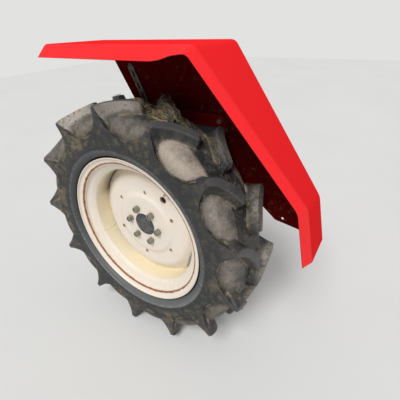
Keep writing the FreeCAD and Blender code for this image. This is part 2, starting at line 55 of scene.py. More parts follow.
# Viewpoint, floor and light
# The picture is taken from outboard and ahead of the wheel, looking down at it by 30 degrees.
# Floor and surroundings are plain and pale, with a broad soft lamp from above the camera.
view_right = (0.831304, 0.553669, -0.048837)
view_up = (-0.241693, 0.439211, 0.865262)
view_back = (0.500518, -0.707492, 0.498935)
view_place = (0.861078, -1.173050, 0.766857)
lens_data = bpy.data.cameras.new("picture_view")
lens_data.sensor_width = 36.0
lens_data.lens = 29.213
lens_data.clip_end = 60.0
picture_view = bpy.data.objects.new("picture_view", lens_data)
picture_view.matrix_world = Matrix([(*row, place) for row, place in zip(
    zip(view_right, view_up, view_back), view_place)] + [(0.0, 0.0, 0.0, 1.0)])
scene.collection.objects.link(picture_view)
scene.camera = picture_view
scene.view_settings.view_transform = "Standard"


def seen(red, green, blue):
    """Linear colour of a paint from how it looks, each part from 0 to 255."""
    parts = [c / 255.0 for c in (red, green, blue)]
    return (*[p / 12.92 if p <= 0.04045 else ((p + 0.055) / 1.055) ** 2.4 for p in parts], 1.0)


class Signal:
    """A node's output that can stand in sums: each operator adds one Math node."""

    def __init__(self, finish, socket):
        self.finish = finish
        self.socket = socket

    def worked(self, operation, *terms):
        return self.finish.node("ShaderNodeMath", {"operation": operation}, dict(enumerate(terms)))

    def __add__(self, other):
        return self.worked("ADD", self, other)

    def __radd__(self, other):
        return self.worked("ADD", other, self)

    def __sub__(self, other):
        return self.worked("SUBTRACT", self, other)

    def __rsub__(self, other):
        return self.worked("SUBTRACT", other, self)

    def __mul__(self, other):
        return self.worked("MULTIPLY", self, other)

    def __rmul__(self, other):
        return self.worked("MULTIPLY", other, self)

    def __truediv__(self, other):
        return self.worked("DIVIDE", self, other)

    def __pow__(self, power):
        return self.worked("POWER", self, power)


class Finish:
    """A procedural material; node() adds any node and gives back the output asked for."""

    def __init__(self, name, colour, roughness, **plain):
        self.material = bpy.data.materials.new(name)
        self.material.use_nodes = True
        self.tree = self.material.node_tree
        self.shader = self.tree.nodes["Principled BSDF"]
        self.spot = self.node("ShaderNodeTexCoord", output="Object")
        self.put("Base Color", colour)
        self.put("Roughness", roughness)
        for socket, setting in plain.items():
            self.put(socket.replace("_", " "), setting)

    def put(self, socket, value):
        """Sets one of the shader's sockets, or links it when the value is a signal."""
        self.feed(self.shader.inputs[socket], value)

    def feed(self, socket, value):
        if isinstance(value, Signal):
            self.tree.links.new(value.socket, socket)
        else:
            socket.default_value = value

    def node(self, kind, settings={}, inputs={}, output=0):
        made = self.tree.nodes.new(kind)
        for name, setting in settings.items():
            setattr(made, name, setting)
        for name, value in inputs.items():
            self.feed(made.inputs[name], value)
        return Signal(self, made.outputs[output])

    def noise(self, scale, detail=3.0, roughness=0.55, where=None):
        """Cloudy pattern from 0 to 1, with its spots about 1/scale metres across."""
        return self.node("ShaderNodeTexNoise", {}, {"Vector": where or self.spot, "Scale": scale,
                                                    "Detail": detail, "Roughness": roughness})

    def rise(self, value, low, high):
        """Soft step from 0 at low to 1 at high."""
        return self.node("ShaderNodeMapRange", {"interpolation_type": "SMOOTHSTEP"},
                         {"Value": value, "From Min": low, "From Max": high})

    def mixed(self, share, under, over):
        """Colour that goes from under to over as the share goes from 0 to 1."""
        return self.node("ShaderNodeMix", {"data_type": "RGBA"}, {0: share, 6: under, 7: over}, 2)

    def stretched(self, scale):
        """The place on the object, drawn out or pressed together along each axis."""
        return self.node("ShaderNodeMapping", {}, {"Vector": self.spot, "Scale": scale})

    def relief(self, height, distance, strength=1.0):
        """Bumps of that height field, so many metres high, on the surface's normal."""
        self.put("Normal", self.node("ShaderNodeBump", {}, {"Height": height, "Distance": distance,
                                                            "Strength": strength}))

    def attribute(self, name):
        return self.node("ShaderNodeAttribute", {"attribute_name": name}, output="Fac")

    def axes(self):
        """X, Y and Z of the place on the object."""
        made = self.node("ShaderNodeSeparateXYZ", {}, {"Vector": self.spot})
        outputs = made.socket.node.outputs
        return [Signal(self, outputs[i]) for i in range(3)]


floor_level = cad_box[0][2]
floor_mesh = bpy.data.meshes.new("floor")
floor_mesh.from_pydata([(x, y, floor_level) for x, y in ((-9, -9), (9, -9), (9, 9), (-9, 9))],
                       [], [(0, 1, 2, 3)])
floor = bpy.data.objects.new("floor", floor_mesh)
scene.collection.objects.link(floor)
floor_finish = Finish("pale_floor", seen(222, 222, 220), 0.7)
floor_cloud = floor_finish.noise(1.4, 4.0)
floor_finish.put("Base Color", floor_finish.mixed(floor_cloud, seen(226, 226, 224),
                                                  seen(218, 218, 217)))
floor_mesh.materials.append(floor_finish.material)

surroundings = bpy.data.worlds.new("studio")
surroundings.use_nodes = True
sky = surroundings.node_tree.nodes["Background"]
sky.inputs["Color"].default_value = (1.0, 1.0, 1.0, 1.0)
sky.inputs["Strength"].default_value = 0.44
backdrop = surroundings.node_tree.nodes.new("ShaderNodeBackground")
backdrop.inputs["Color"].default_value = seen(226, 226, 224)
light_path = surroundings.node_tree.nodes.new("ShaderNodeLightPath")
either = surroundings.node_tree.nodes.new("ShaderNodeMixShader")
join = surroundings.node_tree.links.new
join(light_path.outputs["Is Camera Ray"], either.inputs["Fac"])
join(sky.outputs["Background"], either.inputs[1])
join(backdrop.outputs["Background"], either.inputs[2])
join(either.outputs["Shader"], surroundings.node_tree.nodes["World Output"].inputs["Surface"])
scene.world = surroundings

lamp_data = bpy.data.lights.new("main_lamp", "SUN")
lamp_data.energy = 2.35
lamp_data.angle = math.radians(24.0)
lamp = bpy.data.objects.new("main_lamp", lamp_data)
lamp.rotation_euler = (math.radians(39.6), 0.0, math.radians(13.6))
scene.collection.objects.link(lamp)


# Axle housing
# Cast iron trumpet that carries the wheel, painted dark grey. Its flange bolts to the gearbox, eight
# ribs run up to that flange, and the machined pad on top takes the mudguard's bracket.
def rounded(corners, steps=6, closed=False):
    """Path through corners (point, reach). Each bend is the quadratic curve (1-t)^2 P + 2t(1-t) C + t^2 Q,
    from P, so far before the corner C, to Q, so far after it."""
    table = np.array(corners, float)
    point, reach = table[:, :-1], table[:, -1:]
    back = point - np.roll(point, 1, 0)
    on = np.roll(point, -1, 0) - point
    back /= np.linalg.norm(back, axis=1, keepdims=True)
    on /= np.linalg.norm(on, axis=1, keepdims=True)
    t = np.linspace(0, 1, steps)[None, :, None]
    bend = ((1 - t) ** 2 * (point - back * reach)[:, None] + 2 * t * (1 - t) * point[:, None]
            + t ** 2 * (point + on * reach)[:, None])
    if not closed:
        bend[0], bend[-1] = point[0], point[-1]
    path = bend.reshape(-1, point.shape[1])
    moved = np.linalg.norm(np.diff(path, axis=0), axis=1) > 1e-9
    return path[np.concatenate([[True], moved])]


def piece(name, grids, crease=32.0, fields={}):
    """One mesh from grids of points in millimetres, each given as (points, rows closed, columns closed).
    Doubles at seams and poles are merged and the faces are turned outwards."""
    spots, faces, first = [], [], 0
    for points, closed_rows, closed_columns in grids:
        rows, columns = points.shape[:2]
        index = first + np.arange(rows * columns).reshape(rows, columns)
        under = np.roll(index, -1, 0)[:rows if closed_rows else rows - 1]
        over = index[:len(under)]
        quads = np.stack([over, np.roll(over, -1, 1), np.roll(under, -1, 1), under], -1)
        faces.append(quads[:, :columns if closed_columns else columns - 1].reshape(-1, 4))
        spots.append(points.reshape(-1, 3))
        first += rows * columns
    spots, faces = np.vstack(spots) / 1000.0, np.vstack(faces)
    mesh = bpy.data.meshes.new(name)
    mesh.vertices.add(len(spots))
    mesh.vertices.foreach_set("co", spots.ravel())
    mesh.loops.add(faces.size)
    mesh.loops.foreach_set("vertex_index", faces.ravel())
    mesh.polygons.add(len(faces))
    mesh.polygons.foreach_set("loop_start", np.arange(0, faces.size, 4))
    mesh.update(calc_edges=True)
    for field, values in fields.items():
        mesh.attributes.new(field, "FLOAT", "POINT").data.foreach_set("value", values.ravel())
    work = bmesh.new()
    work.from_mesh(mesh)
    bmesh.ops.remove_doubles(work, verts=work.verts, dist=2e-6)
    bmesh.ops.recalc_face_normals(work, faces=work.faces)
    work.to_mesh(mesh)
    work.free()
    mesh.shade_smooth()
    mesh.set_sharp_from_angle(angle=math.radians(crease))
    made = bpy.data.objects.new(name, mesh)
    scene.collection.objects.link(made)
    return made


def fit(made, body, slot, finish, *nodes):
    """Puts a piece on its body, gives it its finish and lets it stand for its CAD nodes."""
    made.data.materials.clear()
    made.data.materials.append(finish.material)
    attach(made, body)
    if nodes:
        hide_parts(*nodes)


to_gearbox = 450.0


def round_axle(radius, depth, angle):
    """Points at a radius and an angle from +X about the axle, at a depth behind the rim's outer plane."""
    shape = np.broadcast(radius, depth, angle).shape
    return np.stack(np.broadcast_arrays(radius * np.cos(angle), depth - to_gearbox,
                                        radius * np.sin(angle)), -1).reshape(*shape, 3)


def all_round(columns):
    return np.linspace(0, 2 * np.pi, columns, endpoint=False)[None, :]


def lathe(path, columns):
    """Surface of revolution: every (depth, radius) of the path carried once round the axle."""
    return round_axle(path[:, 1:2], path[:, 0:1], all_round(columns))


def cut(made, tools):
    """Takes the tools' volumes out of a piece."""
    for tool in tools:
        trim = made.modifiers.new("cut", "BOOLEAN")
        trim.object = tool
        trim.operation = "DIFFERENCE"
        trim.solver = "EXACT"
    bpy.context.view_layer.update()
    mesh = bpy.data.meshes.new_from_object(made.evaluated_get(bpy.context.evaluated_depsgraph_get()))
    made.modifiers.clear()
    made.data = mesh
    mesh.shade_smooth()
    mesh.set_sharp_from_angle(angle=math.radians(32.0))
    for tool in tools:
        bpy.data.objects.remove(tool)


def drill(radius, start, end, places, columns=32):
    """Cylinders along the axle between two depths, to cut holes with."""
    tools = []
    for x, z in places:
        bit = lathe(np.array([(start, 0.0), (start, radius), (end, radius), (end, 0.0)]), columns)
        tools.append(piece("bit", [(bit + (x, 0.0, z), False, True)]))
    return tools


def ring(count, start, radius):
    """Places of a bolt circle, clockwise from its first angle."""
    turn = np.radians(start - np.arange(count) * 360.0 / count)
    return list(zip(radius * np.cos(turn), radius * np.sin(turn)))


housing_path = rounded([
    (168.0, 55.2, 0), (134.0, 55.2, 0), (134.0, 78.0, 1.5), (152.0, 78.0, 4.0), (168.0, 64.0, 8.0),
    (235.0, 60.0, 20.0), (414.0, 70.0, 14.0), (434.0, 84.0, 8.0), (434.0, 118.0, 2.0),
    (450.0, 118.0, 1.2), (450.0, 49.2, 0), (427.0, 49.2, 0)], 7)
neck = (housing_path[:, 0] > 168.0) & (housing_path[:, 0] < 433.9) & (housing_path[:, 1] > 56.0)
neck_depth = np.linspace(170.0, 433.5, 96)
neck_radius = np.interp(neck_depth, housing_path[neck, 0], housing_path[neck, 1])
before = housing_path[:np.argmax(neck)]
after = housing_path[len(neck) - np.argmax(neck[::-1]):]
housing_rows = np.vstack([before, np.c_[neck_depth, neck_radius], after])
housing_angle = all_round(384)
housing_depth, housing_radius = housing_rows[:, 0:1], housing_rows[:, 1:2]
rib_line = (housing_angle / (np.pi / 4)) % 1.0 - 0.5
rib_side = np.abs(rib_line * np.pi / 4) * housing_radius
rib_top = np.interp(housing_depth, [343.0, 344.0, 434.0, 434.1], [0.0, 61.0, 108.0, 0.0])
rib_share = np.clip((7.5 - rib_side) / 3.0, 0, 1) * (rib_top > housing_radius)
pad_top = np.minimum(74.0 / np.maximum(np.sin(housing_angle), 1e-3),
                     59.0 / np.maximum(np.abs(np.cos(housing_angle)), 1e-3))
pad_share = (np.abs(housing_depth - 312.0) < 46.3) * (np.sin(housing_angle) > 0.05)
skin = (housing_radius > 56.0) & (housing_depth < 433.9)
cast_radius = np.where(skin, housing_radius + (rib_top - housing_radius) * rib_share, housing_radius)
cast_radius = np.where(skin & (pad_share > 0), np.maximum(cast_radius, pad_top), cast_radius)
cast = round_axle(cast_radius, housing_depth, housing_angle)
bore_rows = lathe(np.array([(427.0, 45.2), (405.0, 45.2), (405.0, 42.0), (168.0, 42.0),
                            (168.0, 55.2)]), 384)
housing = piece("cast_axle_housing", [(np.vstack([cast, bore_rows[:-1]]), True, True)])
cut(housing, drill(6.75, 430.0, 455.0, ring(8, 0.0, 100.0)))
housing_finish = Finish("grey_on_cast_iron", seen(88, 91, 96), 0.5, Metallic=0.0)
sand = housing_finish.noise(420.0, 3.0)
hollow = housing_finish.noise(38.0, 4.0, 0.6)
grease = housing_finish.rise(housing_finish.noise(9.0, 5.0, 0.6), 0.52, 0.68)
worn = housing_finish.rise(housing_finish.noise(60.0, 6.0, 0.7), 0.66, 0.72)
paint = housing_finish.mixed(hollow, seen(78, 81, 86), seen(98, 101, 105))
paint = housing_finish.mixed(grease * 0.75, paint, seen(58, 52, 44))
paint = housing_finish.mixed(worn * 0.7, paint, seen(104, 74, 55))
housing_finish.put("Base Color", paint)
housing_finish.put("Roughness", 0.42 + grease * 0.28 + worn * 0.2)
housing_finish.relief(sand * 0.6 + hollow, 0.0006)
fit(housing, "axle_end", "housing_paint", housing_finish, "axle_housing")


# Bearings, oil seal and seal retainer
# Two ground steel ball bearings press into the housing's ends. The rubber lip seal sits in a cast
# retainer that closes the outboard end behind the wheel.
def ring_section(start, end, inner, outer, bevel):
    """Closed section of a ring with bevelled edges."""
    return rounded([(start, inner, bevel), (start, outer, bevel), (end, outer, bevel),
                    (end, inner, bevel)], 4, True)


bearing_finish = Finish("ground_steel", seen(190, 192, 196), 0.24, Metallic=1.0)
turn_marks = bearing_finish.noise(1.0, 2.0, where=bearing_finish.stretched((60, 2600, 60)))
bearing_finish.put("Roughness", 0.18 + turn_marks * 0.2)
bearing_finish.relief(turn_marks, 0.00005)
for name, start, end, inner, outer in (("outer_bearing", 138.0, 168.0, 30.0, 55.0),
                                       ("inner_bearing", 405.0, 427.0, 25.0, 45.0)):
    race = (outer - inner) * 0.3
    shield = rounded([(start + 1.5, inner + race, 0.2), (start + 1.5, outer - race, 0.2),
                      (end - 1.5, outer - race, 0.2), (end - 1.5, inner + race, 0.2)], 3, True)
    bearing = piece("ball_" + name, [
        (lathe(ring_section(start, end, inner, inner + race + 0.6, 0.8), 120), True, True),
        (lathe(ring_section(start, end, outer - race - 0.6, outer, 0.8), 120), True, True),
        (lathe(shield, 120), True, True)])
    fit(bearing, "axle_end", "bearing_steel", bearing_finish, name)

retainer = piece("cast_seal_retainer", [
    (lathe(ring_section(125.0, 133.8, 47.0, 76.0, 1.2), 160), True, True)])
fit(retainer, "axle_end", "housing_paint", housing_finish, "seal_retainer")

seal_finish = Finish("seal_rubber", seen(38, 38, 39), 0.6)
oil = seal_finish.rise(seal_finish.noise(70.0, 3.0), 0.45, 0.65)
seal_finish.put("Base Color", seen(38, 38, 39))
seal_finish.put("Roughness", 0.68 - oil * 0.38)
lip = rounded([(125.0, 35.2, 0.4), (126.5, 38.0, 1.0), (126.0, 42.0, 1.0), (125.0, 46.9, 0.5),
               (133.0, 46.9, 0.5), (133.0, 37.0, 1.0), (130.0, 35.2, 0.6)], 5, True)
seal = piece("lip_seal", [(lathe(lip, 120), True, True)])
fit(seal, "axle_end", "seal_rubber", seal_finish, "oil_seal")


# Axle shaft
# One forging of steel, turned where it is seen: the slightly domed pilot with its centre hole, the
# flange that the disc bolts to, the seal's journal, the bearing seats and twelve splines inboard.
shaft_path = rounded([
    (97.0, 0.0, 0), (79.6, 5.3, 0.6), (77.0, 6.6, 1.2), (76.9, 12.0, 2.0), (77.4, 44.0, 6.0),
    (79.6, 50.3, 2.4), (84.0, 51.0, 1.0), (87.2, 51.0, 0.2), (87.2, 96.0, 0.8), (103.0, 96.0, 1.0),
    (103.0, 42.0, 1.5), (116.0, 42.0, 1.0), (116.0, 35.0, 0.8), (138.0, 35.0, 0.4), (138.0, 29.9, 0.3),
    (168.0, 29.9, 0.3), (168.0, 27.0, 0.3), (405.0, 27.0, 0.3), (405.0, 24.9, 0.3), (434.0, 24.9, 0.3),
    (434.0, 24.0, 0.3), (441.0, 24.0, 0.3), (441.5, 24.0, 0.1), (496.0, 24.0, 1.5), (498.0, 22.0, 0.5),
    (498.0, 0.0, 0)], 5)
shaft_depth, shaft_radius = shaft_path[:, 0:1], shaft_path[:, 1:2]
shaft_angle = all_round(240)
tooth = np.clip(0.5 + 2.2 * np.cos(12 * shaft_angle), 0, 1)
splined = (shaft_depth > 441.2) & (shaft_radius > 5.0)
shaft_radius = np.where(splined, np.minimum(shaft_radius, 21.0 + 3.0 * tooth), shaft_radius)
shaft = piece("turned_axle_shaft", [(round_axle(shaft_radius, shaft_depth, shaft_angle),
                                     False, True)])
shaft_finish = Finish("dark_oiled_steel", seen(74, 80, 90), 0.38, Metallic=0.75)
shaft_x, shaft_y, shaft_z = shaft_finish.axes()
from_axis = (shaft_x * shaft_x + shaft_z * shaft_z) ** 0.5
lathe_marks = shaft_finish.node("ShaderNodeTexNoise", {"noise_dimensions": "1D"},
                                {"W": from_axis * 900.0 + shaft_y * 700.0, "Scale": 1.0, "Detail": 2.0})
blotch = shaft_finish.noise(48.0, 5.0, 0.65)
centre_rust = shaft_finish.rise(from_axis + blotch * 0.012, 0.021, 0.011)
outboard_face = shaft_finish.rise(shaft_y, -0.345, -0.36)
bloom = shaft_finish.rise(blotch, 0.42, 0.62)
steel = shaft_finish.mixed(bloom, seen(80, 83, 87), seen(113, 113, 112))
steel = shaft_finish.mixed(centre_rust * outboard_face * 0.6, steel, seen(112, 82, 60))
shaft_finish.put("Base Color", steel)
shaft_finish.put("Metallic", 0.75 - centre_rust * outboard_face * 0.6)
shaft_finish.put("Roughness", 0.34 + bloom * 0.16 + centre_rust * outboard_face * 0.3)
shaft_finish.relief(lathe_marks + blotch * 2.0, 0.00012)
fit(shaft, "wheel", "shaft_steel", shaft_finish, "axle_shaft")


# Wheel disc
# Pressed from 8 mm plate and painted cream. A low raised ring holds the nuts, the edge is bent back to
# the rim, and three flats are sheared off the circle where the disc isn't welded to the well.
def half_disc(side):
    """Depth and radius of one face of the disc; side moves it to the back along the profile."""
    return rounded([(79.0 + side, 51.3, 0), (79.0 + side, 131.0, 5.0), (87.0 + side, 147.0, 7.0),
                    (87.0 + side, 209.0 - side * 0.33, 15.0 + side * 0.35),
                    (126.5 + side, 261.8 - side * 0.33 - (side > 0) * 0.4, 0)], 9)


def level(path, radii):
    """Depth of a path at the given radii."""
    return np.interp(radii, path[:, 1], path[:, 0])


def disc_grid(path, share, lean):
    """Polar grid of one face: the share runs from the bore to the sheared or round edge, and
    lean is how much the edge is rounded over."""
    angle = all_round(720)
    flat = np.radians(np.array([97.0, -23.0, -143.0]))[:, None, None]
    off = np.abs((angle[None] - flat + np.pi) % (2 * np.pi) - np.pi)
    sheared = np.where(off < 1.2, 232.0 / np.cos(np.minimum(off, 1.2)), 999.0).min(0)
    edge = np.minimum(sheared, 261.6) - lean
    radius = 51.5 + lean * 0.3 + share[:, None] * (edge - 51.5)
    return round_axle(radius, level(path, radius), angle)


face_path, back_path = half_disc(0.0), half_disc(8.0)
face_share = np.linspace(0, 1, 88)
face_grid = disc_grid(face_path, face_share, 1.0)
inset = disc_grid(face_path, np.array([0.0, 1.0]), 0.0)
inner_turn = inset[:1] + (0.0, 1.0, 0.0)
outer_turn = inset[1:] + (0.0, 1.0, 0.0)
back_grid = disc_grid(back_path, np.linspace(1, 0, 22), 0.6)
disc = piece("pressed_wheel_disc", [(np.vstack([inner_turn, face_grid, outer_turn, back_grid]),
                                     True, True)], 28.0)
stud_places = ring(6, 111.6, 76.2)
small_holes = ring(6, 142.3, 156.2)
valve_turn = math.radians(52.3)
valve_hole = [(183.0 * math.cos(valve_turn), 183.0 * math.sin(valve_turn))]
cut(disc, drill(8.2, 60.0, 110.0, stud_places) + drill(8.0, 60.0, 120.0, small_holes)
    + drill(15.0, 60.0, 130.0, valve_hole, 48))
wheel_finish = Finish("cream_wheel_paint", seen(232, 222, 208), 0.42)
wheel_x, wheel_y, wheel_z = wheel_finish.axes()
reach = (wheel_x * wheel_x + wheel_z * wheel_z) ** 0.5
behind = wheel_y + 0.45
cloud = wheel_finish.noise(14.0, 5.0, 0.6)
speck = wheel_finish.noise(260.0, 4.0, 0.7)
spread = wheel_finish.noise(70.0, 5.0, 0.65)
low = wheel_finish.rise(wheel_z, 0.05, -0.26)
cream = wheel_finish.mixed(cloud, seen(232, 223, 211), seen(223, 211, 196))
yellowed = wheel_finish.rise(behind + cloud * 0.02, 0.052, 0.075) * wheel_finish.rise(reach, 0.235, 0.262)
cream = wheel_finish.mixed(yellowed * 0.7, cream, seen(240, 227, 190))
mud = wheel_finish.rise(spread + low * 0.06, 0.6, 0.76) * (0.08 + low * 0.1)
cream = wheel_finish.mixed(mud, cream, seen(171, 148, 118))
dots = wheel_finish.rise(speck * 0.6 + spread * 0.5, 0.64, 0.7)
near_hole = wheel_finish.attribute("hole")
near_seam = wheel_finish.attribute("seam")
rust = wheel_finish.rise(near_hole + near_seam + spread * 0.7, 0.98, 1.2)
stain = wheel_finish.rise(near_hole + near_seam + spread * 0.9 + dots * 0.25, 0.82, 1.3)
cream = wheel_finish.mixed(stain * 0.55, cream, seen(206, 152, 96))
cream = wheel_finish.mixed(rust * 0.9, cream, seen(126, 70, 36))
cream = wheel_finish.mixed(dots * (0.08 + near_seam * 0.7), cream, seen(160, 112, 70))
# Painted shade: a near-black band in the corner between disc and well on the upper left, where the inside of the
# wheel lies in shade
painted_gap_shade = wheel_finish.attribute("gap")
cream = wheel_finish.mixed(painted_gap_shade * 0.9, cream, seen(40, 33, 27))
wheel_finish.put("Base Color", cream)
wheel_finish.put("Roughness", 0.42 + mud * 0.35 + rust * 0.3 + painted_gap_shade * 0.3)
wheel_finish.relief(speck * 0.35 + cloud + rust * 0.8, 0.0005)


def reading(made):
    """Coordinates of a finished piece's vertices in millimetres."""
    spots = np.empty(len(made.data.vertices) * 3)
    made.data.vertices.foreach_get("co", spots)
    return spots.reshape(-1, 3) * 1000.0


def field(made, name, values):
    """Writes one number for each vertex, which the finish reads by its name."""
    store = made.data.attributes.new(name, "FLOAT", "POINT")
    store.data.foreach_set("value", values.astype(np.float32))


disc_spots = reading(disc)
openings = np.array([(x, z, 8.0) for x, z in small_holes] + [(x, z, 15.0) for x, z in valve_hole]
                    + [(x, z, 13.6) for x, z in stud_places])
to_hole = (np.hypot(disc_spots[:, 0:1] - openings[:, 0], disc_spots[:, 2:3] - openings[:, 1])
           - openings[:, 2]).min(1)
field(disc, "hole", np.exp(-np.clip(to_hole, 0, None) / 2.6) * 0.75)
disc_reach = np.hypot(disc_spots[:, 0], disc_spots[:, 2])
to_well = np.clip(261.0 - disc_reach, 0, None)
field(disc, "seam", np.exp(-to_well / 5.0) * 0.5 + np.exp(-np.abs(disc_reach - 52.0) / 1.6) * 0.45)
fit(disc, "wheel", "wheel_paint", wheel_finish, "wheel_disc")


# Rim
# Rolled from 5 mm strip, butt welded across the well and painted cream like the disc. A curved edge
# flange, the bead seat, a sharp drop and the flat well show on the outboard side.
rim_seen = [(0.4, 327.4, 1.8), (0.4, 323.2, 1.6), (9.4, 320.0, 5.5), (13.4, 299.4, 1.7),
            (28.8, 298.5, 2.4), (38.6, 275.8, 2.0), (50.4, 262.1, 4.5)]
rim_back = [(53.6, 267.1, 4.0), (43.0, 280.2, 2.0), (32.0, 303.4, 3.0), (18.5, 304.5, 2.5),
            (13.0, 324.4, 4.5)]


def both_sides(outboard_run, middle=104.0):
    """The run followed by its mirror image about the wheel's middle plane."""
    return outboard_run + [(2 * middle - row[0], *row[1:]) for row in outboard_run[::-1]]


rim_path = rounded(both_sides(rim_seen) + [(208.0 - d, r, e) for d, r, e in rim_back[::-1]]
                   + rim_back, 7, True)
rim_grid = lathe(rim_path, 480)
rim = piece("rolled_rim", [(rim_grid, True, True)], 40.0)
valve_line = np.array([math.cos(valve_turn), 0.0, math.sin(valve_turn)])
valve_base = np.array([0.0, 66.0 - to_gearbox, 0.0])
valve_across = np.array([0.0, 1.0, 0.0])
valve_over = np.cross(valve_line, valve_across)


def radial_lathe(path, columns):
    """Surface of revolution about the valve's line: every (distance from the axle, radius) carried round."""
    angle = all_round(columns)[..., None]
    round_it = np.cos(angle) * valve_across + np.sin(angle) * valve_over
    return valve_base + path[:, None, 0:1] * valve_line + path[:, None, 1:2] * round_it


def bar_path(corners):
    return np.array(corners, float)


cut(rim, [piece("bit", [(radial_lathe(bar_path([(250, 0), (250, 8), (275, 8), (275, 0)]), 32),
                         False, True)])])
rim_spots = reading(rim)
rim_reach = np.hypot(rim_spots[:, 0], rim_spots[:, 2])
rim_depth = rim_spots[:, 1] + to_gearbox
rim_own = np.minimum(rim_depth, 208.0 - rim_depth)
groove = np.exp(-(np.hypot(rim_own - 13.8, rim_reach - 300.0) / 3.6) ** 2)
ridge = np.exp(-np.hypot(rim_own - 38.6, rim_reach - 275.8) / 1.5)
corner = np.exp(-np.hypot(rim_own - 50.0, rim_reach - 262.5) / 5.0)
weld_angle = np.degrees(np.arctan2(rim_spots[:, 2], rim_spots[:, 0]))
joint = np.exp(-np.abs((weld_angle + 158.0 + 180.0) % 360.0 - 180.0) * 4.6 / 3.0) * (rim_reach < 298.0)
disc_line = np.exp(-np.abs(rim_depth - 127.0) / 4.0) * (rim_reach < 263.0)
foot_line = np.exp(-np.abs(rim_depth - 123.0) / 2.5) * np.exp(-((weld_angle + 58.0) / 14.0) ** 2)
field(rim, "seam", groove * 1.15 + ridge * 0.12 + corner * 0.38 + joint * 0.5 + disc_line * 0.5
      + foot_line * 0.5)


def in_gap(spots):
    """Share of painted shade by place: a dark band painted in the corner behind the disc, on the arc from 120 to
    165 degrees, wider towards its upper end."""
    turn = np.degrees(np.arctan2(spots[:, 2], spots[:, 0]))
    start = np.interp(turn, [120.0, 135.0, 160.0], [101.0, 110.0, 118.0])
    share = np.clip((spots[:, 1] + to_gearbox - start) / 5.0, 0, 1)
    return share * np.clip((turn - 118.0) / 12.0, 0, 1) * np.clip((167.0 - turn) / 8.0, 0, 1)


# The gap field carries the painted shade in the corner behind the disc
field(rim, "gap", in_gap(rim_spots) * (rim_reach < 264.0))
to_valve = np.linalg.norm(rim_spots - (valve_base + valve_line * 262.0), axis=1) - 8.0
field(rim, "hole", np.exp(-np.clip(to_valve, 0, None) / 3.0) * 0.8)
fit(rim, "wheel", "wheel_paint", wheel_finish, "rim")


# Weld beads
# The disc is welded to the well along the three arcs between its sheared flats, and the strip's ends
# are joined by one bead across the well. Each bead is a row of overlapping ripples, painted over.
def bead(along, start_width, end_width, out, side, steps=8):
    """Closed rod with ripples along a line of points; out and side span its section."""
    share = np.linspace(0, 1, len(along))[:, None, None]
    ripple = 1.0 + 0.09 * np.sin(np.arange(len(along)) * 1.26)[:, None, None]
    taper = np.clip(np.minimum(share, 1 - share) * len(along) / 4.0, 0.0, 1.0) ** 0.5
    turn = np.linspace(0, 2 * np.pi, steps, endpoint=False)[None, :, None]
    width = (start_width + (end_width - start_width) * share) * ripple * taper
    return along[:, None] + width * (np.cos(turn) * out[:, None] + np.sin(turn) * side[:, None])


bead_grids = []
for middle in (37.0, -83.0, 157.0):
    bead_angle = np.radians(np.linspace(middle - 27.0, middle + 27.0, 300))
    line = round_axle(260.6, 125.4, bead_angle)
    outward = round_axle(1.0, to_gearbox, bead_angle)
    lengthwise = np.tile([0.0, 1.0, 0.0], (300, 1))
    bead_grids.append((bead(line, 3.4, 3.4, outward, lengthwise), False, True))
joint_angle = math.radians(-158.0)
joint_line = np.stack([np.full(60, 261.8 * math.cos(joint_angle)),
                       np.linspace(54.0, 118.0, 60) - to_gearbox,
                       np.full(60, 261.8 * math.sin(joint_angle))], -1)
joint_out = np.tile([math.cos(joint_angle), 0.0, math.sin(joint_angle)], (60, 1))
joint_side = np.tile([-math.sin(joint_angle), 0.0, math.cos(joint_angle)], (60, 1))
bead_grids.append((bead(joint_line, 1.1, 1.1, joint_out, joint_side * 3.2), False, True))
beads = piece("weld_beads", bead_grids, 60.0)
bead_count = len(beads.data.vertices)
field(beads, "seam", np.full(bead_count, 0.42))
field(beads, "hole", np.zeros(bead_count))
field(beads, "gap", in_gap(reading(beads)))
fit(beads, "wheel", "wheel_paint", wheel_finish)


# Tyre valve
# Plated brass stem, screwed down on the well by its nut, with a knurled cap on the end.
valve_finish = Finish("dull_plated_brass", seen(214, 212, 206), 0.3, Metallic=0.8)
tarnish = valve_finish.rise(valve_finish.noise(160.0, 4.0, 0.6), 0.42, 0.62)
valve_finish.put("Base Color", valve_finish.mixed(tarnish, seen(222, 220, 214), seen(168, 158, 138)))
valve_finish.put("Roughness", 0.26 + tarnish * 0.25)
valve_finish.relief(tarnish, 0.0002)
stem_rows = rounded([(266.5, 0.0, 0), (266.5, 7.6, 0.4), (261.6, 7.6, 0.2), (261.6, 10.0, 0.6),
                     (256.6, 10.0, 0.8), (256.6, 5.4, 0.6), (250.0, 4.0, 1.5), (231.4, 4.0, 0.5),
                     (230.8, 2.6, 0.4), (230.8, 0.0, 0)], 4)
stem_grid = radial_lathe(stem_rows, 96)
nut_rows = (stem_rows[:, 0] < 261.7) & (stem_rows[:, 0] > 256.5) & (stem_rows[:, 1] > 9.0)
hexed = 9.0 / np.cos((all_round(96) % (np.pi / 3)) - np.pi / 6) / 10.0
middle_line = valve_base + stem_rows[:, None, 0:1] * valve_line
stem_grid = np.where(nut_rows[:, None, None], middle_line + (stem_grid - middle_line)
                     * np.minimum(hexed, 1.0)[..., None], stem_grid)
stem = piece("brass_valve_stem", [(stem_grid, False, True)])
fit(stem, "wheel", "valve_metal", valve_finish, "valve_stem")
cap_rows = rounded([(239.6, 4.3, 0.1), (239.6, 5.2, 0.3), (230.0, 5.5, 0.6), (226.6, 4.6, 0.9),
                    (226.3, 0.0, 0)], 4)
cap_grid = radial_lathe(cap_rows, 96)
knurl = 1.0 - 0.05 * (np.cos(24 * all_round(96)) > 0)[..., None]
cap_middle = valve_base + cap_rows[:, None, 0:1] * valve_line
cap_inner = radial_lathe(bar_path([(231.2, 0.0), (231.2, 4.3), (239.6, 4.3)]), 96)
cap_grid = cap_middle + (cap_grid - cap_middle) * np.where((cap_rows[:, 0] > 228.5)[:, None, None],
                                                           knurl, 1.0)
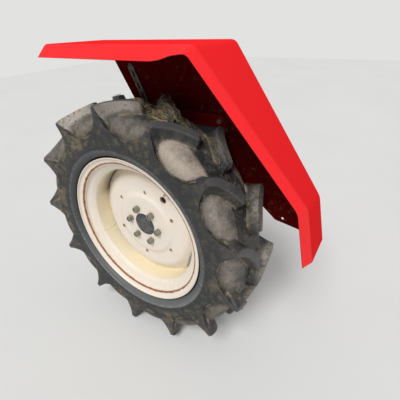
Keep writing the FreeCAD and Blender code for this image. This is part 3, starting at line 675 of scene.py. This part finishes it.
cap = piece("knurled_valve_cap", [(np.vstack([cap_inner, cap_grid]), False, True)])
fit(cap, "wheel", "valve_metal", valve_finish, "valve_cap")


# Wheel studs and nuts
# Six zinc-plated studs are pressed into the shaft's flange from behind, and a chamfered nut on each
# clamps the disc. Every nut has stopped at its own angle.
zinc_finish = Finish("dull_zinc", seen(150, 150, 134), 0.5, Metallic=0.55)
zinc_cloud = zinc_finish.noise(90.0, 5.0, 0.65)
zinc_grit = zinc_finish.noise(700.0, 3.0)
brown = zinc_finish.rise(zinc_cloud, 0.55, 0.68)
plating = zinc_finish.mixed(zinc_cloud, seen(160, 160, 145), seen(126, 127, 112))
zinc_finish.put("Base Color", zinc_finish.mixed(brown * 0.55, plating, seen(112, 86, 58)))
zinc_finish.put("Metallic", 0.55 - brown * 0.35)
zinc_finish.put("Roughness", 0.44 + brown * 0.25)
zinc_finish.relief(zinc_grit * 0.5 + zinc_cloud, 0.0003)


def hex_head(flats, start, end, inner, turn, bevel_end=True, columns=96):
    """Hexagonal prism about the axle's line: radius flats/2/cos(angle from the side's middle), with
    each end cut back by a cone of 30 degrees. It is closed on an inner radius."""
    angle = all_round(columns)
    radius = flats / 2 / np.cos((angle - turn) % (np.pi / 3) - np.pi / 6)
    cone = np.clip((radius - flats * 0.485) * 0.577, 0, None)
    base = np.full_like(angle, float(end))
    rim_in = np.full_like(angle, flats * 0.485)
    rows = [(start + 0.9 * (inner > 0), np.full_like(angle, inner)),
            (start, np.full_like(angle, inner + 1.2 * (inner > 0))), (start, rim_in),
            (start + cone, radius), (base - cone * bevel_end, radius), (base, rim_in),
            (base, np.full_like(angle, inner))]
    depth = np.vstack([np.broadcast_to(row[0], angle.shape) for row in rows])
    return round_axle(np.vstack([row[1] for row in rows]), depth, angle)


stud_rows = rounded([(61.0, 0.0, 0), (61.2, 5.0, 1.5), (62.6, 7.4, 0.6), (66.0, 8.0, 0.5),
                     (103.0, 8.0, 0.2), (103.0, 13.0, 0.5), (109.0, 12.4, 1.4), (109.0, 0.0, 0)], 4)
for number, (x, z) in enumerate(stud_places, 1):
    stud = piece("wheel_stud_%d" % number, [(lathe(stud_rows, 64) + (x, 0.0, z), False, True)])
    fit(stud, "wheel", "zinc", zinc_finish, "stud_%d" % number)
    nut_turn = math.radians(111.6 + 10.0 * number)
    nut_grid = hex_head(24.0, 59.0, 79.0, 8.1, nut_turn, False)
    nut = piece("wheel_nut_%d" % number, [(nut_grid + (x, 0.0, z), True, True)])
    fit(nut, "wheel", "zinc", zinc_finish, "nut_%d" % number)

# Tyre
# Black rubber farm tyre of open tread: 13 curved lugs on each side, half a pitch apart, stand 45 mm
# over the casing. At the shoulder each lug runs into a horn of the sidewall, and dust and dry mud lie
# in the pockets between them.
pitch = 2 * np.pi * 525.0 / 13
half_pitch = pitch / 2
lug_end = 93.0
# Columns: depth and radius on the casing, depth and radius on a lug, rows to the next station, half
# the lug's width and the width of its flank
stations = np.array([
    (18.8, 304.8, 18.8, 304.8, 1, 100.0, 14.0), (18.8, 325.0, 18.8, 325.0, 1, 100.0, 14.0),
    (15.0, 331.0, 15.0, 331.0, 2, 100.0, 14.0), (5.0, 334.0, 5.0, 334.0, 1, 100.0, 14.0),
    (-4.0, 337.0, -4.0, 337.0, 1, 100.0, 14.0), (-9.0, 343.0, -9.0, 343.0, 2, 100.0, 14.0),
    (-13.0, 352.0, -13.0, 352.0, 2, 100.0, 14.0), (-15.0, 366.0, -15.0, 366.0, 2, 100.0, 14.0),
    (-15.5, 384.0, -15.5, 386.0, 2, 100.0, 14.0), (-15.2, 397.0, -15.6, 404.0, 2, 103.0, 12.0),
    (-14.8, 405.0, -16.0, 416.0, 3, 92.0, 12.0), (-13.6, 414.0, -16.8, 428.0, 3, 60.0, 13.0),
    (-11.0, 426.0, -18.5, 447.0, 3, 37.0, 13.0), (-6.5, 440.0, -20.5, 470.0, 3, 22.5, 15.0),
    (-2.0, 449.0, -23.0, 494.0, 2, 12.0, 21.0), (1.5, 454.0, -25.0, 510.0, 1, 8.0, 27.0),
    (5.0, 458.5, -23.4, 515.5, 2, 8.6, 29.0), (9.0, 463.0, -18.0, 518.0, 2, 10.0, 28.0),
    (17.0, 468.5, -8.0, 520.0, 3, 12.0, 26.0), (28.0, 473.0, 12.0, 522.0, 3, 14.0, 22.0),
    (42.0, 476.5, 36.0, 523.0, 5, 14.5, 15.0), (70.0, 479.5, 70.0, 523.6, 9, 15.2, 10.0),
    (104.0, 480.5, 104.0, 523.8, 0, 16.0, 9.0)])


def flowing(marks, counts):
    """Catmull-Rom curve: each stretch between two marks is the cubic whose ends lean along the
    chords of their neighbours, with so many points to a stretch."""
    ends = np.vstack([2 * marks[0] - marks[1], marks, 2 * marks[-1] - marks[-2]])
    stretch = np.repeat(np.arange(len(counts)), counts)
    t = np.concatenate([np.arange(count) / count for count in counts])[:, None]
    a, b, c, d = (ends[stretch + k] for k in range(4))
    curve = 0.5 * (2 * b + (c - a) * t + (2 * a - 5 * b + 4 * c - d) * t ** 2
                   + (3 * b - a - 3 * c + d) * t ** 3)
    return np.vstack([curve, marks[-1]])


def behind_tip(depth):
    """How far a lug's middle line lies behind its tip, in millimetres on the crown: the square of
    the depth from the tip, nearly straight at the shoulder and slanted at the inner end."""
    share = np.clip((depth + 25.0) / (lug_end + 25.0), 0, None)
    return math.radians(525.0) * (0.5 + 13.3 * share ** 2)


def slant(depth):
    """Slope of that line."""
    share = np.clip((depth + 25.0) / (lug_end + 25.0), 0, None)
    return math.radians(525.0) * 26.6 / (lug_end + 25.0) * share


half_rows = flowing(stations[:, [0, 1, 2, 3, 5, 6]], stations[:-1, 4].astype(int))
mirrored = half_rows[-2::-1] * (-1, 1, -1, 1, 1, 1) + (208.0, 0, 208.0, 0, 0, 0)
tyre_rows = np.vstack([half_rows, mirrored])
base_depth, base_radius, top_depth, top_radius, half_width, flank = (
    tyre_rows[:, k:k + 1] for k in range(6))
outboard_half = (np.arange(len(tyre_rows)) < len(half_rows))[:, None]
own_depth = np.where(outboard_half, top_depth, 208.0 - top_depth)
widening = np.sqrt(1 + slant(own_depth) ** 2)

knots = np.array([0, 4, 8, 11.5, 14, 15, 16.3, 19, 22.5, 26, 29, 32.5, 39, 47, 55.5])
zone = np.concatenate([[-half_pitch / 2], -knots[:0:-1], knots])
column = np.hstack([zone, zone + half_pitch])
nominal = np.where(outboard_half, column, column - half_pitch)
nominal = (nominal + half_pitch) % pitch - half_pitch
size = np.abs(nominal)
edge_at = np.minimum(half_width * widening, 104.0)
foot_at = np.minimum(edge_at + flank * widening, 117.0)
# Columns 15 and 29 of every row follow the lug's edge and its foot
drawn = np.where(size < 15.0, size / 15.0 * edge_at, edge_at + (size - 15.0) / 14.0 * (foot_at - edge_at))
drawn = np.where(size < 29.0, drawn, foot_at + (size - 29.0) / (half_pitch - 29.0) * (half_pitch - foot_at))
even_out = np.clip((104.0 - own_depth) / 11.0, 0, 1)
offset = np.sign(nominal) * (size + (drawn - size) * even_out)
rise = (1 - np.clip((np.abs(offset) / widening - half_width) / flank, 0, 1)) ** 1.3
end_slope = slant(lug_end)
past_end = (((offset + behind_tip(own_depth) - behind_tip(lug_end)) * end_slope + own_depth - lug_end)
            / math.sqrt(1 + end_slope ** 2))
rise = rise * (1 - np.clip(past_end / 8.0, 0, 1)) ** 1.2

horn_edge = np.array([(99.6, 412.0), (85.5, 415.0), (71.7, 419.0), (54.9, 425.0), (38.1, 437.0),
                      (27.1, 456.0), (18.2, 475.0), (12.0, 492.0), (7.2, 515.0)])


def to_line(spots, x0, y0, x1, y1):
    """Distance in a plane from a straight line between two points."""
    start, way = np.array([x0, y0]), np.array([x1 - x0, y1 - y0])
    share = np.clip(((spots - start) @ way) / (way @ way), 0, 1)
    return np.linalg.norm(spots - start - share[..., None] * way, axis=-1)


def inside_pocket(off, radius):
    """Distance past the scalloped edge of the sidewall, negative on a horn: the nearest of the
    edge's straight parts, in the plane of the distance from the horn's middle and the radius."""
    spots = np.stack([np.abs(off) * radius / 525.0, radius], -1)
    gap = np.min([to_line(spots, *horn_edge[k], *horn_edge[k + 1]) for k in range(8)], 0)
    width = np.interp(radius, horn_edge[:, 1], horn_edge[:, 0], left=999.0)
    return np.where(spots[..., 0] > width, gap, -gap)


pocket = inside_pocket(offset, base_radius + (top_radius - base_radius) * rise)
sideways = (half_pitch - np.abs(offset)) * base_radius / 525.0
to_crown = np.clip((104.0 - own_depth) / 60.0, 0, 1)
swell = (2.4 * np.clip(pocket / 3.0, 0, 1) - 1.2 * np.exp(-(pocket + 2.0) ** 2 / 3.0)
         + 6.0 * np.sin(np.clip(pocket / 50.0, 0, 1) * np.pi / 2) * np.clip(1 - (sideways / 104) ** 2, 0, 1)
         * to_crown) * (base_radius > 390.0)
lean_depth = np.gradient(base_depth[:, 0])[:, None]
lean_radius = np.gradient(base_radius[:, 0])[:, None]
lean = np.hypot(lean_depth, lean_radius)
skin_depth = base_depth - lean_radius / lean * swell
skin_radius = base_radius + lean_depth / lean * swell
tread_depth = skin_depth + (top_depth - skin_depth) * rise
tread_radius = skin_radius + (top_radius - skin_radius) * rise
one_pitch = column - nominal + offset + behind_tip(own_depth)
back = np.hstack([one_pitch + k * pitch for k in range(13)])
tyre_angle = math.radians(123.9) - back / 525.0
outside = round_axle(np.tile(tread_radius, 13), np.tile(tread_depth, 13), tyre_angle)
inner_rows = np.array([(31.0, 304.8), (31.5, 330.0), (-1.0, 352.0), (-3.0, 392.0), (8.0, 440.0)])
inner_rows = np.vstack([inner_rows, [(40.0, 463.0), (104.0, 468.0), (168.0, 463.0)],
                        inner_rows[::-1] * (-1, 1) + (208.0, 0)])[::-1]
inside = round_axle(inner_rows[:, 1:2], inner_rows[:, 0:1], tyre_angle[:1])


def smooth(values, low, high):
    """Step from 0 at low to 1 at high, 3 s^2 - 2 s^3."""
    share = np.clip((values - low) / (high - low), 0, 1)
    return share * share * (3 - 2 * share)


pocket_number = np.hstack([(column + k * pitch - np.where(outboard_half, 0.0, half_pitch)) // pitch
                           for k in range(13)]).astype(int) % 13
dusty = np.array([0.55, 0.5, 1.0, 0.66, 0.56, 0.52, 0.48, 0.4, 0.4, 0.4, 0.4, 0.45, 0.55])[pocket_number]
across_pocket = np.where(offset > 0, offset, offset + pitch) / pitch
dust_end = np.interp(across_pocket, [0.2, 0.8], [62.0, 36.0])
dome = (smooth(pocket, 0.5, 9.0) * (1 - smooth(own_depth, dust_end - 9.0, dust_end + 9.0))
        * (1 - smooth(rise, 0.02, 0.25))
        * (0.7 + 0.3 * np.sin(np.clip(pocket / 64.0, 0, 1) * np.pi)))
foot_gap = (np.abs(offset) / widening - half_width - flank) / 2.0
crease_line = np.exp(-foot_gap ** 2) * (own_depth > 8.0) * (past_end < 6.0)
edge_line = np.exp(-((pocket - 0.5) / 1.8) ** 2) * (base_radius > 396.0) * (rise < 0.3)
near_flank = smooth(rise, 0.02, 0.4) * (offset > 0) * (pocket > 0) * (1 - smooth(own_depth, 60.0, 90.0))
lug_line = np.hstack([(column - nominal) / pitch + k for k in range(13)])
# Pale mark on one flank of the three lugs at the top and upper rear: partly dust, partly painted light where
# these flanks face the lamp
flank_lit_and_dusty = np.tile(near_flank, 13) * np.interp(lug_line, [-0.4, 0, 1, 1.5, 11.9, 12.2], [0, 1, 0.7, 0, 0, 0.6])
hidden = np.zeros((len(inside), back.shape[1]))
tyre_fields = {"lug": np.vstack([np.tile(rise, 13), hidden]),
               "pocket": np.vstack([np.tile(np.clip(pocket, -50, 90) / 50.0, 13), hidden - 0.8]),
               "dust": np.vstack([np.tile(dome, 13) * dusty, hidden]),
               "line": np.vstack([np.tile(np.maximum(crease_line * 0.8, edge_line), 13), hidden]),
               "flank": np.vstack([flank_lit_and_dusty, hidden])}
tyre = piece("lugged_tyre", [(np.vstack([outside, inside]), True, True)], 38.0, tyre_fields)
tyre_finish = Finish("dusty_rubber", seen(50, 52, 56), 0.6, Specular_IOR_Level=0.4)
tyre_x, tyre_y, tyre_z = tyre_finish.axes()
tyre_reach = (tyre_x * tyre_x + tyre_z * tyre_z) ** 0.5
tyre_round = tyre_finish.node("ShaderNodeMath", {"operation": "ARCTAN2"}, {0: tyre_z, 1: tyre_x})
on_lug, in_pocket, dust_share, dust_line, flank_light_and_dust = (
    tyre_finish.attribute(name) for name in ("lug", "pocket", "dust", "line", "flank"))
drift = tyre_finish.noise(6.0, 5.0, 0.62)
patch = tyre_finish.noise(34.0, 6.0, 0.72)
grit = tyre_finish.noise(300.0, 5.0, 0.75)
scratch = tyre_finish.noise(1.0, 4.0, 0.75, tyre_finish.stretched((340, 110, 150)))
ridge_spot = tyre_finish.node("ShaderNodeCombineXYZ", {}, {0: tyre_round * 70.0, 1: tyre_reach * 26.0})
ridges = tyre_finish.noise(1.0, 3.0, 0.6, ridge_spot)
rubber = tyre_finish.mixed(drift, seen(30, 32, 35), seen(45, 47, 50))
bead_ring = tyre_finish.rise(tyre_reach, 0.366, 0.358)
low_dust = tyre_finish.rise(tyre_z, 0.05, -0.3)
ridged = tyre_finish.rise(ridges, 0.44, 0.6) * tyre_finish.rise(tyre_reach, 0.345, 0.356) * bead_ring
rubber = tyre_finish.mixed(bead_ring * (0.3 + low_dust * 0.6), rubber, seen(98, 99, 100))
rubber = tyre_finish.mixed(ridged * (0.3 + low_dust * 0.4), rubber, seen(138, 139, 140))
worn_top = tyre_finish.rise(tyre_reach, 0.512, 0.52) * (0.34 + drift * 0.4)
rubber = tyre_finish.mixed(worn_top, rubber, seen(98, 100, 105))
crown_side = tyre_finish.rise(tyre_reach, 0.425, 0.47)
haze = tyre_finish.rise(drift * 0.5 + patch * 0.6 + scratch * 0.2, 0.5, 0.8)
rubber = tyre_finish.mixed(haze * 0.45 * crown_side, rubber, seen(120, 114, 106))
# Painted light with dust: those flanks turn pale
rubber = tyre_finish.mixed(flank_light_and_dust * (0.5 + haze * 0.4), rubber, seen(190, 181, 169))
fine_scratch = tyre_finish.noise(1.0, 5.0, 0.8, tyre_finish.stretched((420, 60, 190)))
dusting = tyre_finish.rise(dust_share + fine_scratch * 0.5 + patch * 0.5, 0.72, 1.62)
dust_tone = tyre_finish.mixed(tyre_finish.rise(fine_scratch * 0.7 + patch * 0.4, 0.36, 0.76),
                              seen(160, 146, 132), seen(194, 181, 168))
rubber = tyre_finish.mixed(dusting * 0.92, rubber, dust_tone)
side_band = tyre_finish.rise(tyre_reach, 0.362, 0.378) * tyre_finish.rise(tyre_reach, 0.462, 0.425)
fleck = tyre_finish.rise(grit * 0.62 + patch * 0.45, 0.53, 0.65) * side_band
rubber = tyre_finish.mixed(fleck * 0.5, rubber, seen(120, 112, 88))
outer_side = tyre_finish.rise(tyre_reach, 0.372, 0.4) * tyre_finish.rise(tyre_reach, 0.462, 0.435)
clean_side = tyre_finish.rise(tyre_x, 0.08, 0.28) * tyre_finish.rise(tyre_z, -0.1, 0.06)
earth = (tyre_finish.rise(patch * 0.5 + grit * 0.3 + drift * 0.45, 0.6, 0.7) * outer_side
         * (1 - clean_side * 0.85))
rubber = tyre_finish.mixed(earth * 0.6, rubber, seen(120, 108, 82))
upper_left = tyre_finish.rise(tyre_x, -0.05, -0.2) * tyre_finish.rise(tyre_z, 0.15, 0.3) * outer_side
rubber = tyre_finish.mixed(upper_left * tyre_finish.rise(grit * 0.6 + patch * 0.4, 0.48, 0.62) * 0.55,
                           rubber, seen(158, 142, 98))
# Pale streaks on the inboard lugs at the front of the crown: partly dust, partly painted light on the flanks that
# face the lamp
lit_dust_band = (tyre_finish.rise(tyre_y, -0.345, -0.315) * tyre_finish.rise(tyre_reach, 0.49, 0.51)
              * tyre_finish.rise(tyre_x, 0.25, 0.42) * tyre_finish.rise(scratch, 0.3, 0.6))
rubber = tyre_finish.mixed(lit_dust_band * 0.7, rubber, seen(166, 159, 147))
clod = (tyre_finish.rise(patch * 0.75 + grit * 0.35 + drift * 0.25, 0.71, 0.79) * crown_side
        * tyre_finish.rise(dust_share, 0.5, 0.15))
rubber = tyre_finish.mixed(clod * 0.7, rubber, seen(148, 131, 98))
line_mark = dust_line * tyre_finish.rise(patch + grit * 0.3, 0.5, 0.75)
rubber = tyre_finish.mixed(line_mark * 0.75, rubber, seen(182, 166, 136))
cells = tyre_finish.node("ShaderNodeTexVoronoi", {"feature": "DISTANCE_TO_EDGE"},
                         {"Vector": tyre_finish.spot, "Scale": 19.0})
middle_band = tyre_finish.rise(tyre_y, -0.395, -0.38) * tyre_finish.rise(tyre_y, -0.29, -0.31)
mesh_line = (tyre_finish.rise(cells, 0.022, 0.006) * middle_band * tyre_finish.rise(patch, 0.42, 0.6)
             * tyre_finish.rise(on_lug, 0.5, 0.1) * crown_side)
rubber = tyre_finish.mixed(mesh_line * 0.6, rubber, seen(176, 160, 130))
tyre_finish.put("Base Color", rubber)
tyre_finish.put("Roughness", 0.52 + dusting * 0.4 + clod * 0.3)
tyre_finish.relief(grit * 0.5 + patch * 1.2 + clod * 2.0 + fleck + ridges * bead_ring * 0.6, 0.0009)
fit(tyre, "wheel", "tyre_rubber", tyre_finish, "tyre")


# Dry straw
# Chopped straw that has caught between two lugs on the crown, with loose stalks beside it.
def stalks(centre, spread, count, length, lift, chance):
    """Lines on the tyre's grid: a straight step from a random row and column, read off the grid by
    the share between its four nearest points, then lifted off the rubber."""
    place = centre + chance.normal(0.0, 1.0, (count, 2)) * spread
    heading = chance.uniform(0, 2 * np.pi, count)
    reach_out = length * chance.uniform(0.5, 1.0, count) / 2
    way = np.stack([np.cos(heading) / 5.5, np.sin(heading) / 4.2], -1) * reach_out[:, None]
    spots = place[:, None] + way[:, None] * np.linspace(-1, 1, 9)[None, :, None]
    spots[..., 0] = np.clip(spots[..., 0], 0, outside.shape[0] - 2)
    row, column_at = np.floor(spots[..., 0]).astype(int), np.floor(spots[..., 1]).astype(int)
    down, along = (spots - np.floor(spots)).transpose(2, 0, 1)[..., None]
    wide = outside.shape[1]
    corners = [outside[row + i, (column_at + j) % wide] for i in (0, 1) for j in (0, 1)]
    line = ((corners[0] * (1 - along) + corners[1] * along) * (1 - down)
            + (corners[2] * (1 - along) + corners[3] * along) * down)
    outward = line * (1, 0, 1)
    outward /= np.linalg.norm(outward, axis=-1, keepdims=True)
    highest = np.linalg.norm(line[..., [0, 2]], axis=-1).max(1)[:, None]
    own = np.linalg.norm(line[..., [0, 2]], axis=-1)
    up = (highest - own) * 0.5 + chance.uniform(0.8, lift, (count, 1))
    return line + outward * up[..., None], outward


def nearest_place(x, depth, z):
    """Row and column of the tyre's grid nearest to a point."""
    gap = np.linalg.norm(outside - (x, depth - to_gearbox, z), axis=-1)
    return np.array(np.unravel_index(np.argmin(gap), gap.shape), float)


chance = np.random.default_rng(7)
straw_grids = []
for centre, spread, count, length, lift in (
        (nearest_place(120.0, 128.0, 470.0), (7.0, 9.0), 190, 34.0, 8.0),
        (nearest_place(70.0, 104.0, 478.0), (7.0, 10.0), 130, 28.0, 6.0),
        (nearest_place(172.0, 160.0, 452.0), (3.0, 5.0), 26, 44.0, 5.0),
        (nearest_place(300.0, 140.0, 382.0), (4.0, 6.0), 14, 44.0, 4.0)):
    lines, outward = stalks(centre, np.array(spread), count, length, lift, chance)
    for line, out in zip(lines, outward):
        along = np.gradient(line, axis=0)
        side = np.cross(along, out)
        side /= np.linalg.norm(side, axis=1, keepdims=True)
        straw_grids.append((bead(line, 0.8, 0.7, out * 0.6, side, 5), False, True))
straw = piece("dry_straw", straw_grids, 60.0)
straw_finish = Finish("dry_straw", seen(186, 166, 122), 0.75)
stalk_tone = straw_finish.noise(110.0, 3.0)
straw_finish.put("Base Color", straw_finish.mixed(straw_finish.rise(stalk_tone, 0.35, 0.65),
                                                  seen(222, 205, 166), seen(146, 126, 90)))
straw_finish.put("Roughness", 0.7 + stalk_tone * 0.2)
fit(straw, "wheel", "tyre_rubber", straw_finish)


# Mudguard bracket
# Plate of 8 mm steel with a foot and a gusset welded to it, bolted to the pad on the housing. The
# rail's three bolts go through its upper edge.
plate_finish = housing_finish
for name in ("mudguard_bracket",):
    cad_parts[name].data.materials.clear()
    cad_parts[name].data.materials.append(plate_finish.material)


# Mudguard wall
# Sheet steel of 2 mm that closes the guard's inboard side, with two pressed ribs, painted red and
# spot welded along the band. Mud from the tyre sticks to it.
band_rows = np.array([
    (-274.0, 663.0, -274.0, 700.0, -274.0, 692.0, 0.0), (232.0, 663.0, 232.0, 700.0, 216.0, 692.0, 12.0),
    (268.0, 668.0, 268.0, 700.0, 253.0, 692.0, 12.0), (300.0, 678.0, 300.0, 700.0, 286.0, 692.0, 12.0),
    (352.0, 684.0, 349.0, 700.0, 331.0, 692.0, 16.5), (668.0, 320.0, 681.0, 314.0, 650.0, 222.0, 15.1),
    (697.0, 156.0, 711.0, 152.0, 681.0, 55.0, 0.0)])


def lengthened(path, share):
    """Points at the given shares of a path's corners, evenly filled between them."""
    at = np.arange(len(path))
    return np.stack([np.interp(share, at, path[:, k]) for k in range(path.shape[1])], -1)


def sheet(name, outer, inward, thickness, crease=32.0):
    """Closed sheet: the grid and its copy moved by thickness along the unit vectors inward."""
    inner = outer + inward * thickness
    grid = np.concatenate([outer, inner[:, ::-1]], 1)
    ends = [np.stack([outer[k], inner[k]]) for k in (0, -1)]
    copied = np.concatenate([np.zeros(outer.shape[:2]), np.ones(inner.shape[:2])], 1)
    under = np.concatenate([copied.ravel()] + [np.repeat([0.0, 1.0], outer.shape[1])] * 2)
    return piece(name, [(grid, False, True), (ends[0], False, False), (ends[1], False, False)], crease,
                 {"under": under})


paths = [rounded(band_rows[:, [k, k + 1, 6]], 9) for k in (0, 2, 4)]
corner_count = len(paths[0])
reach_along = np.concatenate([[0.0], np.cumsum(np.linalg.norm(np.diff(paths[1], axis=0), axis=1))])
fine = np.unique(np.concatenate([np.interp(np.arange(0, reach_along[-1], 7.0), reach_along,
                                           np.arange(corner_count)), np.arange(corner_count)]))
lip_line, crease_line, edge_line = (lengthened(path, fine) for path in paths)


def in_plane(line, depth):
    """Points of an (x, z) line at a depth."""
    return np.stack([line[:, 0], np.full(len(line), depth - to_gearbox), line[:, 1]], -1)


lip_row, crease_row, edge_row = (in_plane(lip_line, -30.0), in_plane(crease_line, 10.0),
                                 in_plane(edge_line, 262.0))
over_lip = np.array([0.0, 0.08, 0.25, 0.5, 0.7, 0.8])[None, :, None]
over_band = np.array([0.035, 0.06, 0.12, 0.25, 0.4, 0.55, 0.7, 0.85, 1.0])[None, :, None]
lip_part = lip_row[:, None] + (crease_row - lip_row)[:, None] * over_lip
band_part = crease_row[:, None] + (edge_row - crease_row)[:, None] * over_band
soft = np.linspace(0.1, 0.9, 7)[None, :, None]
bend = ((1 - soft) ** 2 * lip_part[:, -1:] + 2 * soft * (1 - soft) * crease_row[:, None]
        + soft ** 2 * band_part[:, :1])
band_outer = np.concatenate([lip_part, bend, band_part], 1)
run_along = np.gradient(band_outer, axis=0)
run_across = np.gradient(band_outer, axis=1)
inward = np.cross(run_along, run_across)
inward /= np.linalg.norm(inward, axis=2, keepdims=True)
inward *= -np.sign(inward[len(inward) // 3, 8, 2])
band = sheet("red_guard_band", band_outer, inward, 2.0)
wall_low = np.array([(-260.0, 692.0), (-141.0, 481.0), (-101.0, 411.0), (286.0, 403.0), (290.0, 330.0),
                     (312.0, 262.0), (350.0, 208.0), (412.0, 158.0), (503.0, 82.0), (681.0, 55.0)])
upper_keep = edge_line[:, 0] > -260.0
upper = np.vstack([[(-260.0, 692.0)], edge_line[upper_keep]])
upper_run = np.concatenate([[0.0], np.cumsum(np.linalg.norm(np.diff(upper, axis=0), axis=1))])
upper_share = upper_run / upper_run[-1]
low_at = np.array([0.0, 0.12, 0.19, 0.48, 0.56, 0.64, 0.71, 0.78, 0.86, 1.0])
even = np.unique(np.concatenate([np.linspace(0, 1, 240), upper_share, low_at]))
upper = np.stack([np.interp(even, upper_share, upper[:, k]) for k in (0, 1)], -1)
lower = np.stack([np.interp(even, low_at, wall_low[:, k]) for k in (0, 1)], -1)
up = np.linspace(0, 1, 110)[None, :, None]
wall_flat = lower[:, None] + (upper - lower)[:, None] * up


def tyre_side(spots):
    """Depth of the wall's face towards the tyre at each (x, z): two ribs stand out by 4 mm, with
    edges that follow a smooth step across each rib's middle line."""
    gap = np.minimum(to_line(spots, -24.0, 624.0, 68.0, 514.0), to_line(spots, 25.0, 625.0, 107.0, 531.0))
    return 262.0 - 4.0 * (1 - smooth(gap, 2.5, 8.0))


wall_outer = np.stack([wall_flat[..., 0], tyre_side(wall_flat) - to_gearbox, wall_flat[..., 1]], -1)
guard_wall = sheet("red_guard_wall", wall_outer, np.broadcast_to([0.0, 1.0, 0.0], wall_outer.shape), 2.0)
cut(guard_wall, drill(5.25, 254.0, 270.0, [(531.0, 96.0), (616.0, 96.0)]))
wall_spots = reading(guard_wall)
wall_under = wall_spots[:, 1] + to_gearbox < tyre_side(wall_spots[:, [0, 2]]) + 1.0
guard_wall.data.attributes["under"].data.foreach_set("value", wall_under.astype(np.float32))

guard_finish = Finish("gloss_red_paint", seen(250, 42, 46), 0.34, Specular_IOR_Level=0.0,
                      Coat_Roughness=0.3)
guard_x, guard_y, guard_z = guard_finish.axes()
guard_cloud = guard_finish.noise(5.0, 4.0, 0.6)
guard_dust = guard_finish.noise(46.0, 6.0, 0.7)
guard_speck = guard_finish.noise(240.0, 4.0, 0.7)
scuff = guard_finish.noise(1.0, 4.0, 0.7, guard_finish.stretched((700, 60, 46)))
# Painted shade: the faces towards the tyre and the rail below the wall turn dark red, as they lie in the guard's
# shade; dust and mud also gather more on them
rail_in_shade = guard_finish.rise(guard_z, 0.49, 0.47) * guard_finish.rise(guard_x, 0.33, 0.31)
shaded_inner_faces = (guard_finish.attribute("under")
             + rail_in_shade * guard_finish.rise(guard_y, -0.1865, -0.1885) * 0.86)
foot = guard_finish.rise(guard_z, 0.3, 0.12)
red = guard_finish.mixed(guard_cloud, seen(253, 40, 44), seen(247, 44, 48))
# Dark red painted as shade on those faces
red = guard_finish.mixed(shaded_inner_faces, red, guard_finish.mixed(guard_cloud, seen(96, 6, 8), seen(72, 8, 9)))
spatter = guard_finish.rise(guard_speck * 0.5 + guard_dust * 0.6, 0.62, 0.68)
film = guard_finish.rise(guard_dust, 0.5, 0.8) * (0.01 + shaded_inner_faces * 0.14 + foot * 0.08)
red = guard_finish.mixed(film, red, seen(142, 104, 84))
red = guard_finish.mixed(spatter * (0.02 + shaded_inner_faces * 0.5), red, seen(104, 86, 66))
chip = guard_finish.rise(scuff * 0.5 + guard_speck * 0.3 + guard_dust * 0.25 + foot * 0.1, 0.68, 0.72)
red = guard_finish.mixed(chip * foot * 0.7, red, seen(138, 84, 66))
guard_finish.put("Base Color", red)
guard_finish.put("Coat Weight", guard_finish.rise(guard_y, -0.43, -0.445) * 0.3)
guard_finish.put("Roughness", 0.26 + film * 0.9 + spatter * 0.3 + chip * foot * 0.3)
guard_finish.relief(guard_cloud * 1.5 + spatter * 0.3, 0.0004)
fit(guard_wall, "axle_end", "guard_paint", guard_finish, "mudguard_wall")


# Mudguard band
# One sheet of 2 mm steel bent over the tyre, with a soft crease along its outboard edge and a lip
# turned down from it, stoved gloss red.
fit(band, "axle_end", "guard_paint", guard_finish, "mudguard_band")


# Rail, stay and bolts
# The rail is a red flat bar along the wall's lower edge, painted dark as shade. A slotted, plated stay stands on
# it, darkened as painted shade, and zinc-plated bolts hold rail, wall and bracket together and the bracket to its
# pad.
# Painted shade: the stay's zinc is made dark, as it lies in the guard's shade; blotches of weathering vary it
stay_finish = Finish("shaded_weathered_zinc", seen(86, 82, 74), 0.6, Metallic=0.4)
stay_cloud = stay_finish.noise(80.0, 5.0, 0.65)
stay_finish.put("Base Color", stay_finish.mixed(stay_finish.rise(stay_cloud, 0.4, 0.65),
                                                seen(104, 101, 92), seen(66, 56, 46)))
for name, finish in [("mudguard_rail", guard_finish), ("mudguard_stay", stay_finish)] + [
        ("rail_bolt_%d" % k, zinc_finish) for k in (1, 2, 3)] + [
        ("pad_bolt_%d" % k, zinc_finish) for k in (1, 2, 3, 4)]:
    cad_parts[name].data.materials.clear()
    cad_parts[name].data.materials.append(finish.material)
